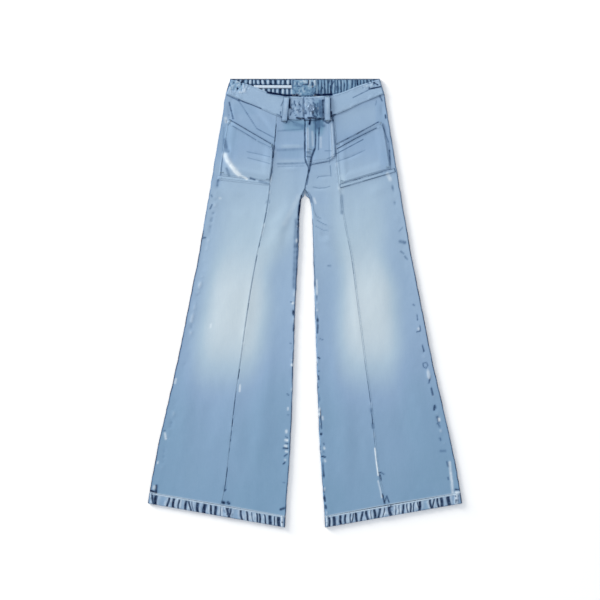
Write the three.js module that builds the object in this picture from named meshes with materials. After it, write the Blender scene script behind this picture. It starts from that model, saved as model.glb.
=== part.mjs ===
// Flared jeans laid flat on a table, face up, with the front panels lying on the back panels.
// Millimetres. +Z is up, +Y runs towards the waist and +X towards the wearer's left.
// The origin is on the table, at the middle of the garment's footprint.
import * as THREE from "three";

// Driving sizes of the garment.
const TOP_EDGE = 552.5; // half of the 1105 mm from the back waist edge to the lowest hem corner
const WAIST_HALF = 184; // the waist lies 368 mm wide
const WAIST_SEAM_HALF = 195; // and its waist seam 390 mm
const HEM_DEPTH = 26; // turned-up hem

// Cloth.
const CLOTH = 1.5; // one layer of denim
const SEAM_GAP = 0.3; // between neighbouring pieces
const LEG_FOLD = 3; // radius of the cloth where it turns at an outseam or inseam
const SAG = 0.6; // how far a panel sinks between its thicker seams
const BAND_CLOTH = 2.6; // folded and interlined waistband
const BAND_FOLD = 3.6; // radius of the waistband where it turns at the hips
const HEM_CLOTH = 2.4; // three layers at the hem
const HEM_STEP = 0.2; // how far the hem stands over the panel
const HEM_ROUNDING = 0.5; // how far its fold dips at the foot
const PATCH_CLOTH = 1.4; // what is sewn flat on a panel
const PATCH_EDGE = 0.7; // extra thickness of a patch along its turned-in edge

const DENIM = { color: 0x94b0c8, roughness: 0.9, metalness: 0 };
const DENIM_DARK = { color: 0x6f8fae, roughness: 0.92, metalness: 0 };
const LABEL = { color: 0xa9b8d2, roughness: 0.85, metalness: 0 };
const TAPE = { color: 0xdce8f4, roughness: 0.85, metalness: 0 };
const METAL = { color: 0x8f97a3, roughness: 0.35, metalness: 1 };

// The outline of each long seam: x is the distance from the centre line at the height y.
const SIDE_SEAM = [
  { y: 552, x: 184 },
  { y: 515, x: 195 },
  { y: 452, x: 205 },
  { y: 390, x: 216 },
  { y: 304, x: 230 },
  { y: 205, x: 247 },
  { y: 106, x: 264 },
  { y: 8, x: 284 },
  { y: -115, x: 308 },
  { y: -239, x: 336 },
  { y: -362, x: 364 },
  { y: -460, x: 382 },
  { y: -493, x: 387 },
];
const INSEAM = [
  { y: 281, x: 0 },
  { y: 268, x: 7 },
  { y: 245, x: 14 },
  { y: 205, x: 18 },
  { y: 131, x: 20 },
  { y: 8, x: 23.5 },
  { y: -115, x: 27.5 },
  { y: -239, x: 31.5 },
  { y: -362, x: 37 },
  { y: -485, x: 45.5 },
  { y: -552, x: 49.5 },
];
const FRONT_SEAM = [
  { y: 470, right: 68, left: 69 },
  { y: 390, right: 75, left: 76 },
  { y: 338, right: 80, left: 79 },
  { y: 299, right: 85, left: 83 },
  { y: 254, right: 90, left: 88 },
  { y: 193, right: 101, left: 98 },
  { y: 116, right: 118, left: 114 },
  { y: 8, right: 137, left: 128 },
  { y: -155, right: 160, left: 149 },
  { y: -239, right: 172, left: 161 },
  { y: -362, right: 186, left: 174 },
  { y: -460, right: 198, left: 189 },
  { y: -530, right: 214, left: 212 },
];
// The fly edge and, below it, the centre front seam down to the crotch.
const FRONT_EDGE = [
  { y: 460, x: -0.5 },
  { y: 370, x: -0.5 },
  { y: 352, x: 0.5 },
  { y: 342, x: 4 },
  { y: 333, x: 8.5 },
  { y: 322, x: 8.5 },
  { y: 312, x: 6.5 },
  { y: 296, x: 3 },
  { y: 281, x: 0 },
];

// Waistband edges: y at the distance x from the centre line. The front dips, the back is straight.
const BAND_FRONT_FOOT = [
  { x: 0, y: 450 },
  { x: 44, y: 454 },
  { x: 70, y: 462 },
  { x: 100, y: 474.5 },
  { x: 135, y: 491 },
  { x: 160, y: 501.5 },
  { x: 195, y: 516 },
];
const BAND_FRONT_TOP = [
  { x: 0, y: 507.5 },
  { x: 44, y: 510 },
  { x: 74, y: 514.5 },
  { x: 96, y: 521 },
  { x: 112, y: 527.5 },
  { x: 130, y: 535 },
  { x: 158, y: 544 },
  { x: WAIST_HALF, y: 551.5 },
];
const BAND_BACK_FOOT = [
  { x: 0, y: 506 },
  { x: 100, y: 508 },
  { x: 195, y: 516 },
];

// Lines across a front, as heights on the side seam, on the front seam and at the inner edge.
// The right and left pockets don't lie quite alike.
const FRONT_LINES = [
  { line: "waist seam", sideR: 515, seamR: 461, sideL: 515, seamL: 461, inner: 450 },
  { line: "hip", sideR: 488, seamR: 424, sideL: 486, seamL: 427, inner: 424 },
  { line: "pocket mouth", sideR: 462, seamR: 387, sideL: 457, seamL: 391, inner: 398 },
  { line: "mouth stitching", sideR: 449, seamR: 374, sideL: 444, seamL: 378, inner: 376 },
  { line: "fly foot", sideR: 403, seamR: 350, sideL: 406, seamL: 352, inner: 338 },
  { line: "pocket middle", sideR: 358, seamR: 324, sideL: 369, seamL: 322, inner: 314 },
  { line: "pocket base", sideR: 315, seamR: 299, sideL: 334, seamL: 292.5, inner: 294 },
  { line: "crotch", sideR: 305, seamR: 289, sideL: 324, seamL: 282.5, inner: 281 },
  { line: "below the crotch", sideR: 290, seamR: 275, sideL: 308, seamL: 270, inner: 268 },
];
const LINE = Object.fromEntries(FRONT_LINES.map((row, i) => [row.line, i]));
const HEM_TOP = { side: -467, seam: -497.5, inner: -526 };
const HEM_FOOT = { side: -493, seam: -523, inner: -TOP_EDGE };
const LEG_ROWS = 20; // rows of cells from below the crotch to the hem
const BACK_SEAT_ROWS = 5;
const BACK_LEG_ROWS = 10;
const CROTCH_SIDE = 315; // height on the side seam level with the crotch

// The largest soft folds of the fronts: a ridge of that height from one point to another, or a trough.
const FOLDS = [
  { name: "right crotch drag", x1: -12, y1: 255, x2: -104, y2: 96, width: 20, height: 1.5 },
  { name: "right thigh hollow", x1: -60, y1: 140, x2: -84, y2: -180, width: 26, height: -0.7 },
  { name: "right knee roll", x1: -168, y1: 110, x2: -214, y2: -150, width: 34, height: 1.1 },
  { name: "right outer flute", x1: -262, y1: -60, x2: -318, y2: -430, width: 24, height: 1.2 },
  { name: "right inner flute", x1: -96, y1: -130, x2: -118, y2: -470, width: 26, height: 1.3 },
  { name: "left crotch drag", x1: 14, y1: 244, x2: 88, y2: 86, width: 18, height: 1.3 },
  { name: "left thigh hollow", x1: 56, y1: 120, x2: 74, y2: -160, width: 24, height: -0.6 },
  { name: "left knee roll", x1: 158, y1: 130, x2: 204, y2: -130, width: 36, height: 1.2 },
  { name: "left outer flute", x1: 246, y1: -40, x2: 312, y2: -440, width: 26, height: 1.1 },
  { name: "left inner flute", x1: 92, y1: -160, x2: 110, y2: -480, width: 24, height: 1.2 },
];

// Roping: the short slanting waves that a hem and a waistband take in the wash.
const HEM_ROPING = { waves: 18, height: 0.9, slant: 0.5 };
const BAND_ROPING = { waves: 27, height: 0.6, slant: 0.35 };
const SEGMENTS_PER_WAVE = 4;

// Pieces on the panels. Distances are from the side seam or across the panel as a share.
const POCKET_INSET = 15; // from the side seam to the pocket's outer edge
const POCKET_ROWS = 7;
const POCKET_COLUMNS = 7;
const POCKET_CORNER = 7; // how far the upper outer corner is rounded off
const POCKET_GAPE = 0.9; // how far the mouth stands off the panel
const POCKET_BAND_START = { right: 0.1, left: 0.03 }; // share of the way from the side seam
const FLY_COLUMNS = [0.03, 0.12, 0.22, 0.31, 0.38, 0.46, 0.58, 0.72, 0.86, 0.98];
const FLY_ROWS = 9;
const FLY_HOLLOW = 0.6; // depth of the hollow that runs down the fly
const FLY_CORNER = 12; // rounded lower corner of the fly stitching

const CLOSURE_RISE = 1.7; // the left band end lies on the right one
const UNDERLAP_DROP = 1.4;
const BAND_HOLLOW = { x: 33, width: 9, depth: 0.7 }; // beside the button
const BAND_ROWS = [0, 0.5, 1];
const BAND_END_LEFT = -2; // x of the overlapping band end
const BAND_END_RIGHT = 22; // x of the hidden underlap
const LOOP = { width: 11.5, cloth: 1.8, bulge: 1.9, reach: 9, rows: 12 };
const LOOP_SECTION = [
  { across: -1, lower: 0.4 },
  { across: -0.76, lower: 0 },
  { across: 0.76, lower: 0 },
  { across: 1, lower: 0.4 },
];
const LOOPS = [
  { name: "belt_loop_right", top: -45, foot: -51 },
  { name: "belt_loop_left", top: 55, foot: 55.5 },
];
const BUTTON = { x: 15, y: 480, radius: 8.5, shank: 3.4, height: 4.6 };
const INSIDE_LABEL = { x1: -31, x2: 27, y1: 511, y2: 549, cloth: 0.9 };
const INSIDE_TAPE = { x1: -126, x2: -32.5, y1: 529, y2: 537, cloth: 0.9 };

const lerp = THREE.MathUtils.lerp;
const smoothstep = THREE.MathUtils.smoothstep;

// A smooth function through two columns of a table, each slope taken from the neighbouring rows.
function smoothCurve(table, from, to) {
  const rows = [...table].sort((p, q) => p[from] - q[from]);
  const last = rows.length - 1;
  const slope = (i) => {
    const before = rows[Math.max(i - 1, 0)];
    const after = rows[Math.min(i + 1, last)];
    return (after[to] - before[to]) / (after[from] - before[from]);
  };
  return (at) => {
    let i = 0;
    while (i < last - 1 && at > rows[i + 1][from]) i++;
    const span = rows[i + 1][from] - rows[i][from];
    const t = (at - rows[i][from]) / span;
    const bend = t * t * (3 - 2 * t);
    return (
      lerp(rows[i][to], rows[i + 1][to], bend) +
      span * (slope(i) * t * (1 - t) ** 2 - slope(i + 1) * t * t * (1 - t))
    );
  };
}

const sideSeamX = smoothCurve(SIDE_SEAM, "y", "x");
const inseamX = smoothCurve(INSEAM, "y", "x");
const frontEdgeX = smoothCurve(FRONT_EDGE, "y", "x");
const frontSeamX = {
  right: smoothCurve(FRONT_SEAM, "y", "right"),
  left: smoothCurve(FRONT_SEAM, "y", "left"),
};
const bandFrontFoot = smoothCurve(BAND_FRONT_FOOT, "x", "y");
const bandFrontTop = smoothCurve(BAND_FRONT_TOP, "x", "y");
const bandBackFoot = smoothCurve(BAND_BACK_FOOT, "x", "y");

// A closed wall from a grid of point pairs: grid[i][j] is [outer point, inner point].
function wall(grid) {
  const rows = grid.length;
  const columns = grid[0].length;
  const position = [];
  for (const layer of [0, 1])
    for (const row of grid) for (const pair of row) position.push(...pair[layer]);
  const at = (layer, i, j) => (layer * rows + i) * columns + j;
  const index = [];
  const quad = (a, b, c, d) => index.push(a, b, c, a, c, d);
  for (let i = 0; i + 1 < rows; i++)
    for (let j = 0; j + 1 < columns; j++) {
      quad(at(0, i, j), at(0, i + 1, j), at(0, i + 1, j + 1), at(0, i, j + 1));
      quad(at(1, i, j), at(1, i, j + 1), at(1, i + 1, j + 1), at(1, i + 1, j));
    }
  for (let i = 0; i + 1 < rows; i++)
    for (const [j, turn] of [[0, false], [columns - 1, true]]) {
      const strip = [at(0, i, j), at(1, i, j), at(1, i + 1, j), at(0, i + 1, j)];
      quad(...(turn ? strip.reverse() : strip));
    }
  for (let j = 0; j + 1 < columns; j++)
    for (const [i, turn] of [[0, true], [rows - 1, false]]) {
      const strip = [at(0, i, j), at(1, i, j), at(1, i, j + 1), at(0, i, j + 1)];
      quad(...(turn ? strip.reverse() : strip));
    }
  return facingOut(position, index);
}

// The geometry, with its faces turned over if its volume comes out negative.
function facingOut(position, index) {
  const point = (i) => new THREE.Vector3().fromArray(position, 3 * i);
  let volume = 0;
  for (let i = 0; i < index.length; i += 3) {
    const [a, b, c] = [0, 1, 2].map((k) => point(index[i + k]));
    volume += a.dot(b.cross(c));
  }
  if (volume < 0)
    for (let i = 0; i < index.length; i += 3)
      [index[i + 1], index[i + 2]] = [index[i + 2], index[i + 1]];
  const geometry = new THREE.BufferGeometry();
  geometry.setAttribute("position", new THREE.Float32BufferAttribute(position, 3));
  geometry.setIndex(index);
  geometry.computeVertexNormals();
  return geometry;
}

const garment = new THREE.Group();

function addPiece(name, geometry, finish) {
  const mesh = new THREE.Mesh(geometry, new THREE.MeshStandardMaterial(finish));
  mesh.name = name;
  garment.add(mesh);
}

// Height of all folds at a point of the fronts.
function foldHeight(x, y) {
  let height = 0;
  for (const fold of FOLDS) {
    const along = new THREE.Vector2(fold.x2 - fold.x1, fold.y2 - fold.y1);
    const from = new THREE.Vector2(x - fold.x1, y - fold.y1);
    const share = from.dot(along) / along.lengthSq();
    if (share <= 0 || share >= 1) continue;
    const aside = from.cross(along) / along.length() / fold.width;
    height += fold.height * Math.sin(Math.PI * share) ** 1.5 * Math.exp(-aside * aside);
  }
  return height;
}

// Stops along a row near an end where the cloth turns under: the angle of each stop.
const TURN = [0, Math.PI / 4, Math.PI / 2];

// One row of a wall that lies flat between the plan points a and b and may turn at either end.
// layer is +1 for the upper layer and -1 for the lower one. roundA and roundB run from 0, a plain
// edge, to 1, a full turn. stops are the shares of the flat stretch between the ends.
function flatRow({ a, b, roundA, roundB, radius, cloth, stops, layer, top }) {
  const along = b.clone().sub(a).normalize();
  const length = a.distanceTo(b);
  const pairs = [];
  const turned = (end, angle, round) => {
    const toward = end === a ? 1 : -1;
    const plainInset = radius * (1 - Math.cos(angle));
    return [radius, radius - cloth].map((reach, k) => {
      const inset = lerp(plainInset, radius - reach * Math.cos(angle), round);
      const plan = end.clone().addScaledVector(along, toward * inset);
      const lift = Math.max(reach * Math.sin(angle), SEAM_GAP / 2);
      const flat = levels(plan, layer, cloth, top)[k];
      return [plan.x, plan.y, lerp(flat, radius + layer * lift, round)];
    });
  };
  if (roundA !== null) for (const angle of TURN) pairs.push(turned(a, angle, roundA));
  else pairs.push(flatPair(a.clone().addScaledVector(along, SEAM_GAP / 2), layer, cloth, top));
  const startInset = roundA !== null ? radius : SEAM_GAP / 2;
  const endInset = roundB !== null ? radius : SEAM_GAP / 2;
  for (const stop of stops) {
    const plan = a.clone().addScaledVector(along, lerp(startInset, length - endInset, stop));
    pairs.push(flatPair(plan, layer, cloth, top));
  }
  if (roundB !== null) for (const angle of [...TURN].reverse()) pairs.push(turned(b, angle, roundB));
  else pairs.push(flatPair(b.clone().addScaledVector(along, -SEAM_GAP / 2), layer, cloth, top));
  return pairs;
}

// Outer and inner height of a layer where it lies flat.
function levels(plan, layer, cloth, top) {
  if (layer < 0) return [0, cloth];
  const height = top(plan.x, plan.y);
  return [height, height - cloth];
}

function flatPair(plan, layer, cloth, top) {
  return levels(plan, layer, cloth, top).map((z) => [plan.x, plan.y, z]);
}

// Evenly spaced shares between two ends, without the ends.
const between = (count) => Array.from({ length: count }, (_, i) => (i + 1) / (count + 1));

// Heights of row v of the fronts, counted in lines and then in leg rows.
function frontHeights(side, v) {
  const last = FRONT_LINES.length - 1;
  const key = side < 0 ? "R" : "L";
  const read = (row) => ({ side: row["side" + key], seam: row["seam" + key], inner: row.inner });
  const inLeg = v > last;
  const i = inLeg ? last : Math.min(Math.floor(v), last - 1);
  const from = read(FRONT_LINES[i]);
  const to = inLeg ? HEM_TOP : read(FRONT_LINES[i + 1]);
  const t = inLeg ? (v - last) / LEG_ROWS : v - i;
  const gap = inLeg ? SEAM_GAP : 0;
  const mixed = (name) => lerp(from[name], to[name] + gap, t);
  return { side: mixed("side"), seam: mixed("seam"), inner: mixed("inner") };
}

// The plan points where row v crosses the side seam, the front seam and the inner edge.
function frontPoints(side, v) {
  const heights = frontHeights(side, v);
  const seamX = frontSeamX[side < 0 ? "right" : "left"](heights.seam);
  const split = heights.inner < INSEAM[0].y;
  const innerX = split ? side * inseamX(heights.inner) : frontEdgeX(heights.inner);
  return {
    side: new THREE.Vector2(side * sideSeamX(heights.side), heights.side),
    seam: new THREE.Vector2(side * seamX, heights.seam),
    inner: new THREE.Vector2(innerX, heights.inner),
    split,
  };
}

const SEAM_HEIGHT = 2 * LEG_FOLD;

// Upper height of a front panel, which sinks a little between its two edges in row v.
function frontTop(a, b) {
  return (x, y) => {
    const u = THREE.MathUtils.clamp((x - a.x) / (b.x - a.x), 0, 1);
    return SEAM_HEIGHT - SAG * (1 - (2 * u - 1) ** 4) + foldHeight(x, y);
  };
}

// Moves each point of a row to the height of an edge at its own x.
function setHeights(row, edge) {
  for (const pair of row) for (const p of pair) p[1] = edge(p[0]);
}

// A front panel between two of the lines side, seam and inner.
function frontPanel(side, from, to, columns) {
  const lastRow = FRONT_LINES.length - 1 + LEG_ROWS;
  const grid = [];
  for (let v = 0; v <= lastRow; v++) {
    const points = frontPoints(side, v);
    const [a, b] = [points[from], points[to]];
    const innerTurn = points.split ? 1 : 0;
    const row = flatRow({
      a,
      b,
      roundA: from === "side" ? 1 : null,
      roundB: to === "inner" ? innerTurn : null,
      radius: LEG_FOLD,
      cloth: CLOTH,
      stops: between(columns),
      layer: 1,
      top: frontTop(a, b),
    });
    if (v === 0) setHeights(row, (x) => bandFrontFoot(Math.abs(x)) - SEAM_GAP);
    grid.push(row);
  }
  return wall(grid);
}

// A point on a front panel's upper face, u across it and v down it, for what is sewn on it.
function onFront(side, from, to, u, v) {
  const points = frontPoints(side, v);
  const [a, b] = [points[from], points[to]];
  const plan = a.clone().lerp(b, u);
  if (v < 1) {
    const first = frontPoints(side, 0);
    const straight = lerp(first[from].y, first[to].y, u);
    plan.y += (1 - v) * (bandFrontFoot(Math.abs(plan.x)) - SEAM_GAP - straight);
  }
  return { x: plan.x, y: plan.y, z: frontTop(a, b)(plan.x, plan.y) };
}

// A patch that lies on a panel. point(u, v) is on the panel, rise(u, v) the thickness of the patch there
// and stand(u, v) how far its underside stands off beyond the seam gap.
function patch({ columns, rows, point, rise, stand = () => 0 }) {
  const grid = rows.map((v) =>
    columns.map((u) => {
      const { x, y, z } = point(u, v);
      const foot = z + SEAM_GAP + stand(u, v);
      return [[x, y, foot + rise(u, v)], [x, y, foot]];
    }),
  );
  return wall(grid);
}

const steps = (from, to, count) => Array.from({ length: count + 1 }, (_, i) => lerp(from, to, i / count));

// Thickness of a patch with turned-in edges: thicker near the rim, where s and t run from 0 to 1.
function turnedEdge(s, t, rim = 0.14) {
  const edge = Math.min(s, 1 - s, t, 1 - t);
  return PATCH_CLOTH + PATCH_EDGE * (1 - smoothstep(edge, rim * 0.6, rim * 1.6));
}

function pocket(side) {
  const [mouth, base] = [LINE["pocket mouth"], LINE["pocket base"]];
  const seamMargin = 0.012;
  const outerShare = (v) => {
    const points = frontPoints(side, v);
    return POCKET_INSET / points.side.distanceTo(points.seam);
  };
  const share = (v) => (v - mouth) / (base - mouth);
  return patch({
    columns: steps(0, 1, POCKET_COLUMNS),
    rows: steps(mouth, base - 0.03, POCKET_ROWS),
    point: (s, v) => {
      const p = onFront(side, "side", "seam", lerp(outerShare(v), 1 - seamMargin, s), v);
      const corner = Math.max(0, 1 - s * POCKET_COLUMNS) * Math.max(0, 1 - share(v) * POCKET_ROWS);
      return { ...p, x: p.x - side * POCKET_CORNER * 0.5 * corner, y: p.y - POCKET_CORNER * 0.8 * corner };
    },
    rise: (s, v) => turnedEdge(s, share(v)),
    stand: (s, v) => POCKET_GAPE * Math.sin(Math.PI * s) * (1 - smoothstep(share(v), 0, 0.3)),
  });
}

function pocketBand(side) {
  const base = LINE["pocket base"];
  const startShare = side < 0 ? POCKET_BAND_START.right : POCKET_BAND_START.left;
  return patch({
    columns: steps(startShare, 0.988, 8),
    rows: steps(base + 0.03, LINE["crotch"], 2),
    point: (u, v) => onFront(side, "side", "seam", u, v),
    rise: (u, v) => PATCH_CLOTH + 0.4 * Math.sin(Math.PI * (v - base)),
  });
}

function fly() {
  const foot = LINE["fly foot"];
  const share = (v) => v / foot;
  // The hollow leans from the middle of the flap at the waist to its edge at the foot.
  const hollowAt = (v) => lerp(0.36, 0.16, share(v) ** 1.6);
  return patch({
    columns: FLY_COLUMNS,
    rows: steps(0.02, foot - 0.02, FLY_ROWS),
    point: (s, v) => {
      const p = onFront(1, "inner", "seam", s, v);
      const corner = smoothstep(s, 0.72, 1) * smoothstep(share(v), 0.86, 1);
      return { ...p, y: p.y + FLY_CORNER * corner };
    },
    rise: (s, v) => {
      const aside = (s - hollowAt(v)) / 0.1;
      return turnedEdge(s, 0.5) - FLY_HOLLOW * Math.exp(-aside * aside);
    },
  });
}

// Height of the wash waves at the share u along an edge and v across it, from 0 to the full height.
function roping({ waves, height, slant }, u, v) {
  const phase = 2 * Math.PI * (waves * u + slant * v);
  const uneven = 0.72 + 0.28 * Math.sin(11 * u + 1.3) * Math.sin(29 * u);
  return height * uneven * 0.5 * (1 - Math.cos(phase));
}

// Holds a wall's inner points at or under a height, so that waves show on its outer face only.
function keepInsidePlain(grid, height) {
  for (const row of grid) for (const [, inner] of row) inner[2] = Math.min(inner[2], height);
}

// Half of a hem: the front one carries the waves, the back one is flat on the table.
function hem(side, layer) {
  const waveStops = HEM_ROPING.waves * SEGMENTS_PER_WAVE - 1;
  const flatStops = 7;
  const across = layer > 0 ? [0, 0.4, 0.75, 1] : [0, 0.5, 1];
  const plainHeight = SEAM_HEIGHT + HEM_STEP;
  const grid = across.map((v) => {
    const sideY = lerp(HEM_TOP.side, HEM_FOOT.side, v);
    const innerY = lerp(HEM_TOP.inner, HEM_FOOT.inner, v);
    const a = new THREE.Vector2(side * sideSeamX(sideY), sideY);
    const b = new THREE.Vector2(side * inseamX(innerY), innerY);
    const rounded = HEM_ROUNDING * v ** 4;
    return flatRow({
      a,
      b,
      roundA: 1,
      roundB: 1,
      radius: LEG_FOLD,
      cloth: HEM_CLOTH,
      stops: between(layer > 0 ? waveStops : flatStops),
      layer,
      top: (x) => {
        const u = (x - a.x) / (b.x - a.x);
        const atEnds = smoothstep(Math.min(u, 1 - u), 0, 0.04);
        const waves = v === 0 ? 0 : roping(HEM_ROPING, u, v);
        return plainHeight - rounded + waves * atEnds;
      },
    });
  });
  if (layer > 0) keepInsidePlain(grid, plainHeight - HEM_CLOTH);
  return wall(grid);
}

const BAND_HEIGHT = 2 * BAND_FOLD;

// Upper height of the front waistband, which climbs over its own underlap at the closure.
function bandLevel(side, x) {
  if (side < 0) return BAND_HEIGHT - UNDERLAP_DROP * smoothstep(x, -22, -6);
  const { x: middle, width, depth } = BAND_HOLLOW;
  const hollow = depth * Math.exp(-(((x - middle) / width) ** 2));
  return BAND_HEIGHT + CLOSURE_RISE * (1 - smoothstep(x, 36, 78)) - hollow;
}

// Rows of a piece of the waistband. footX and topX hold the x of its two ends at the foot and at the
// top, and foot(x) and top(x) the heights of those edges.
function bandPiece({ footX, topX, foot, top, layer, level, stops, roundEnd }) {
  return BAND_ROWS.map((v) => {
    const [a, b] = [0, 1].map((i) => {
      const y = lerp(foot(Math.abs(footX[i])), top(Math.abs(topX[i])), v);
      return new THREE.Vector2(lerp(footX[i], topX[i], v), y);
    });
    const row = flatRow({
      a,
      b,
      roundA: 1,
      roundB: roundEnd ? 1 : null,
      radius: BAND_FOLD,
      cloth: BAND_CLOTH,
      stops,
      layer,
      top: level,
    });
    setHeights(row, (x) => {
      const u = THREE.MathUtils.clamp((x - a.x) / (b.x - a.x), 0, 1);
      const footY = foot(Math.abs(lerp(footX[0], footX[1], u)));
      const topY = top(Math.abs(lerp(topX[0], topX[1], u)));
      return lerp(footY, topY, v);
    });
    return row;
  });
}

function bandFront(side) {
  const end = side < 0 ? BAND_END_RIGHT : BAND_END_LEFT;
  return wall(
    bandPiece({
      footX: [side * WAIST_SEAM_HALF, end],
      topX: [side * WAIST_HALF, end],
      foot: bandFrontFoot,
      top: bandFrontTop,
      layer: 1,
      level: (x) => bandLevel(side, x),
      stops: between(19),
      roundEnd: false,
    }),
  );
}

function bandBack() {
  const grid = bandPiece({
    footX: [-WAIST_SEAM_HALF, WAIST_SEAM_HALF],
    topX: [-WAIST_HALF, WAIST_HALF],
    foot: bandBackFoot,
    top: () => TOP_EDGE,
    layer: -1,
    level: null,
    stops: between(BAND_ROPING.waves * SEGMENTS_PER_WAVE - 1),
    roundEnd: true,
  });
  grid.forEach((row, i) => {
    for (const [, inner] of row) {
      const u = (inner[0] + WAIST_HALF) / (2 * WAIST_HALF);
      const atEnds = smoothstep(Math.min(u, 1 - u), 0.03, 0.1);
      inner[2] += atEnds * roping(BAND_ROPING, u, BAND_ROWS[i]);
    }
  });
  return wall(grid);
}

// A back panel from the waistband to the hem, flat on the table.
function backPanel(side) {
  const top = { side: bandBackFoot(WAIST_SEAM_HALF), inner: bandBackFoot(0) };
  const crotch = { side: CROTCH_SIDE, inner: INSEAM[0].y };
  const foot = { side: HEM_TOP.side + SEAM_GAP, inner: HEM_TOP.inner + SEAM_GAP };
  const grid = [];
  for (let i = 0; i <= BACK_SEAT_ROWS + BACK_LEG_ROWS; i++) {
    const upper = i <= BACK_SEAT_ROWS;
    const t = upper ? i / BACK_SEAT_ROWS : (i - BACK_SEAT_ROWS) / BACK_LEG_ROWS;
    const [from, to] = upper ? [top, crotch] : [crotch, foot];
    const sideY = lerp(from.side, to.side, t);
    const innerY = lerp(from.inner, to.inner, t);
    const a = new THREE.Vector2(side * sideSeamX(sideY), sideY);
    const b = new THREE.Vector2(upper ? 0 : side * inseamX(innerY), innerY);
    const row = flatRow({
      a,
      b,
      roundA: 1,
      roundB: upper ? 0 : 1,
      radius: LEG_FOLD,
      cloth: CLOTH,
      stops: between(4),
      layer: -1,
      top: null,
    });
    if (i === 0) setHeights(row, (x) => bandBackFoot(Math.abs(x)) - SEAM_GAP);
    if (upper) for (const p of row.at(-1)) p[0] = side * (SEAM_GAP / 2);
    grid.push(row);
  }
  return wall(grid);
}

// A belt loop: a strap over the front waistband, sewn down at both ends and bowed between them.
function beltLoop({ top, foot }) {
  const side = Math.sign(top);
  const topY = bandFrontTop(Math.abs(top)) - 1;
  const footY = bandFrontFoot(Math.abs(foot)) - LOOP.reach;
  const bandFoot = bandFrontFoot(Math.abs(foot) - LOOP.width / 2);
  const underBand = side < 0 ? SEAM_HEIGHT : SEAM_HEIGHT + SEAM_GAP + PATCH_CLOTH + PATCH_EDGE;
  const half = LOOP.width / 2;
  const grid = steps(0, 1, LOOP.rows).map((t) => {
    const y = lerp(topY, footY, t);
    const x = lerp(top, foot, t);
    const onBand = smoothstep(y, bandFoot - 7, bandFoot - 2);
    const band = Math.max(bandLevel(side, x - half), bandLevel(side, x + half));
    const bow = LOOP.bulge * Math.sin(Math.PI * Math.min(t / 0.85, 1)) ** 1.2;
    const z = lerp(underBand, band, onBand) + SEAM_GAP + bow;
    return LOOP_SECTION.map(({ across, lower }) => {
      const edgeX = x + across * half;
      return [[edgeX, y, z + LOOP.cloth - lower], [edgeX, y, z]];
    });
  });
  return wall(grid);
}

// A plain shank button: a domed cap with a raised rim on a short stem.
function button() {
  const { radius, shank, height } = BUTTON;
  const profile = [
    [0, 0],
    [shank, 0],
    [shank, height * 0.42],
    [radius - 0.8, height * 0.42],
    [radius, height * 0.58],
    [radius - 0.3, height * 0.86],
    [radius - 1.1, height],
    [radius - 2, height * 0.93],
    [radius * 0.5, height * 0.9],
    [radius * 0.2, height * 0.98],
    [0, height],
  ].map(([r, z]) => new THREE.Vector2(r, z));
  const geometry = new THREE.LatheGeometry(profile, 24);
  geometry.rotateX(Math.PI / 2);
  geometry.translate(BUTTON.x, BUTTON.y, bandLevel(1, BUTTON.x) + SEAM_GAP);
  return geometry;
}

// A flat strip sewn on the inner face of the back waistband.
function insideStrip({ x1, x2, y1, y2, cloth }) {
  const foot = BAND_CLOTH + BAND_ROPING.height + SEAM_GAP;
  const geometry = new THREE.BoxGeometry(x2 - x1, y2 - y1, cloth);
  geometry.translate((x1 + x2) / 2, (y1 + y2) / 2, foot + cloth / 2);
  return geometry;
}

const SIDES = [
  { word: "right", side: -1 },
  { word: "left", side: 1 },
];
for (const { word, side } of SIDES) {
  addPiece(`front_side_${word}`, frontPanel(side, "side", "seam", 7), DENIM);
  addPiece(`front_centre_${word}`, frontPanel(side, "seam", "inner", 5), DENIM);
  addPiece(`back_${word}`, backPanel(side), DENIM);
  addPiece(`hem_front_${word}`, hem(side, 1), DENIM);
  addPiece(`hem_back_${word}`, hem(side, -1), DENIM);
  addPiece(`pocket_${word}`, pocket(side), DENIM);
  addPiece(`pocket_band_${word}`, pocketBand(side), DENIM);
  addPiece(`waistband_front_${word}`, bandFront(side), DENIM);
}
addPiece("waistband_back", bandBack(), DENIM_DARK);
addPiece("fly", fly(), DENIM);
for (const loop of LOOPS) addPiece(loop.name, beltLoop(loop), DENIM);
addPiece("waist_button", button(), METAL);
addPiece("inside_label", insideStrip(INSIDE_LABEL), LABEL);
addPiece("inside_tape", insideStrip(INSIDE_TAPE), TAPE);

export default garment;
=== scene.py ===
# %% [markdown]
# # Flared jeans, laid flat
# A washed pair of flared jeans lies face up on a pale table. The cut pieces are already there as plain
# solids, in metres, with the waist towards +Y and the wearer's left towards +X. This lesson covers each
# solid with a finer cloth of the same form, then adds the sewing, the button, the finishes and the light.

# %% Load the plain solids
import math
from functools import partial

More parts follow.
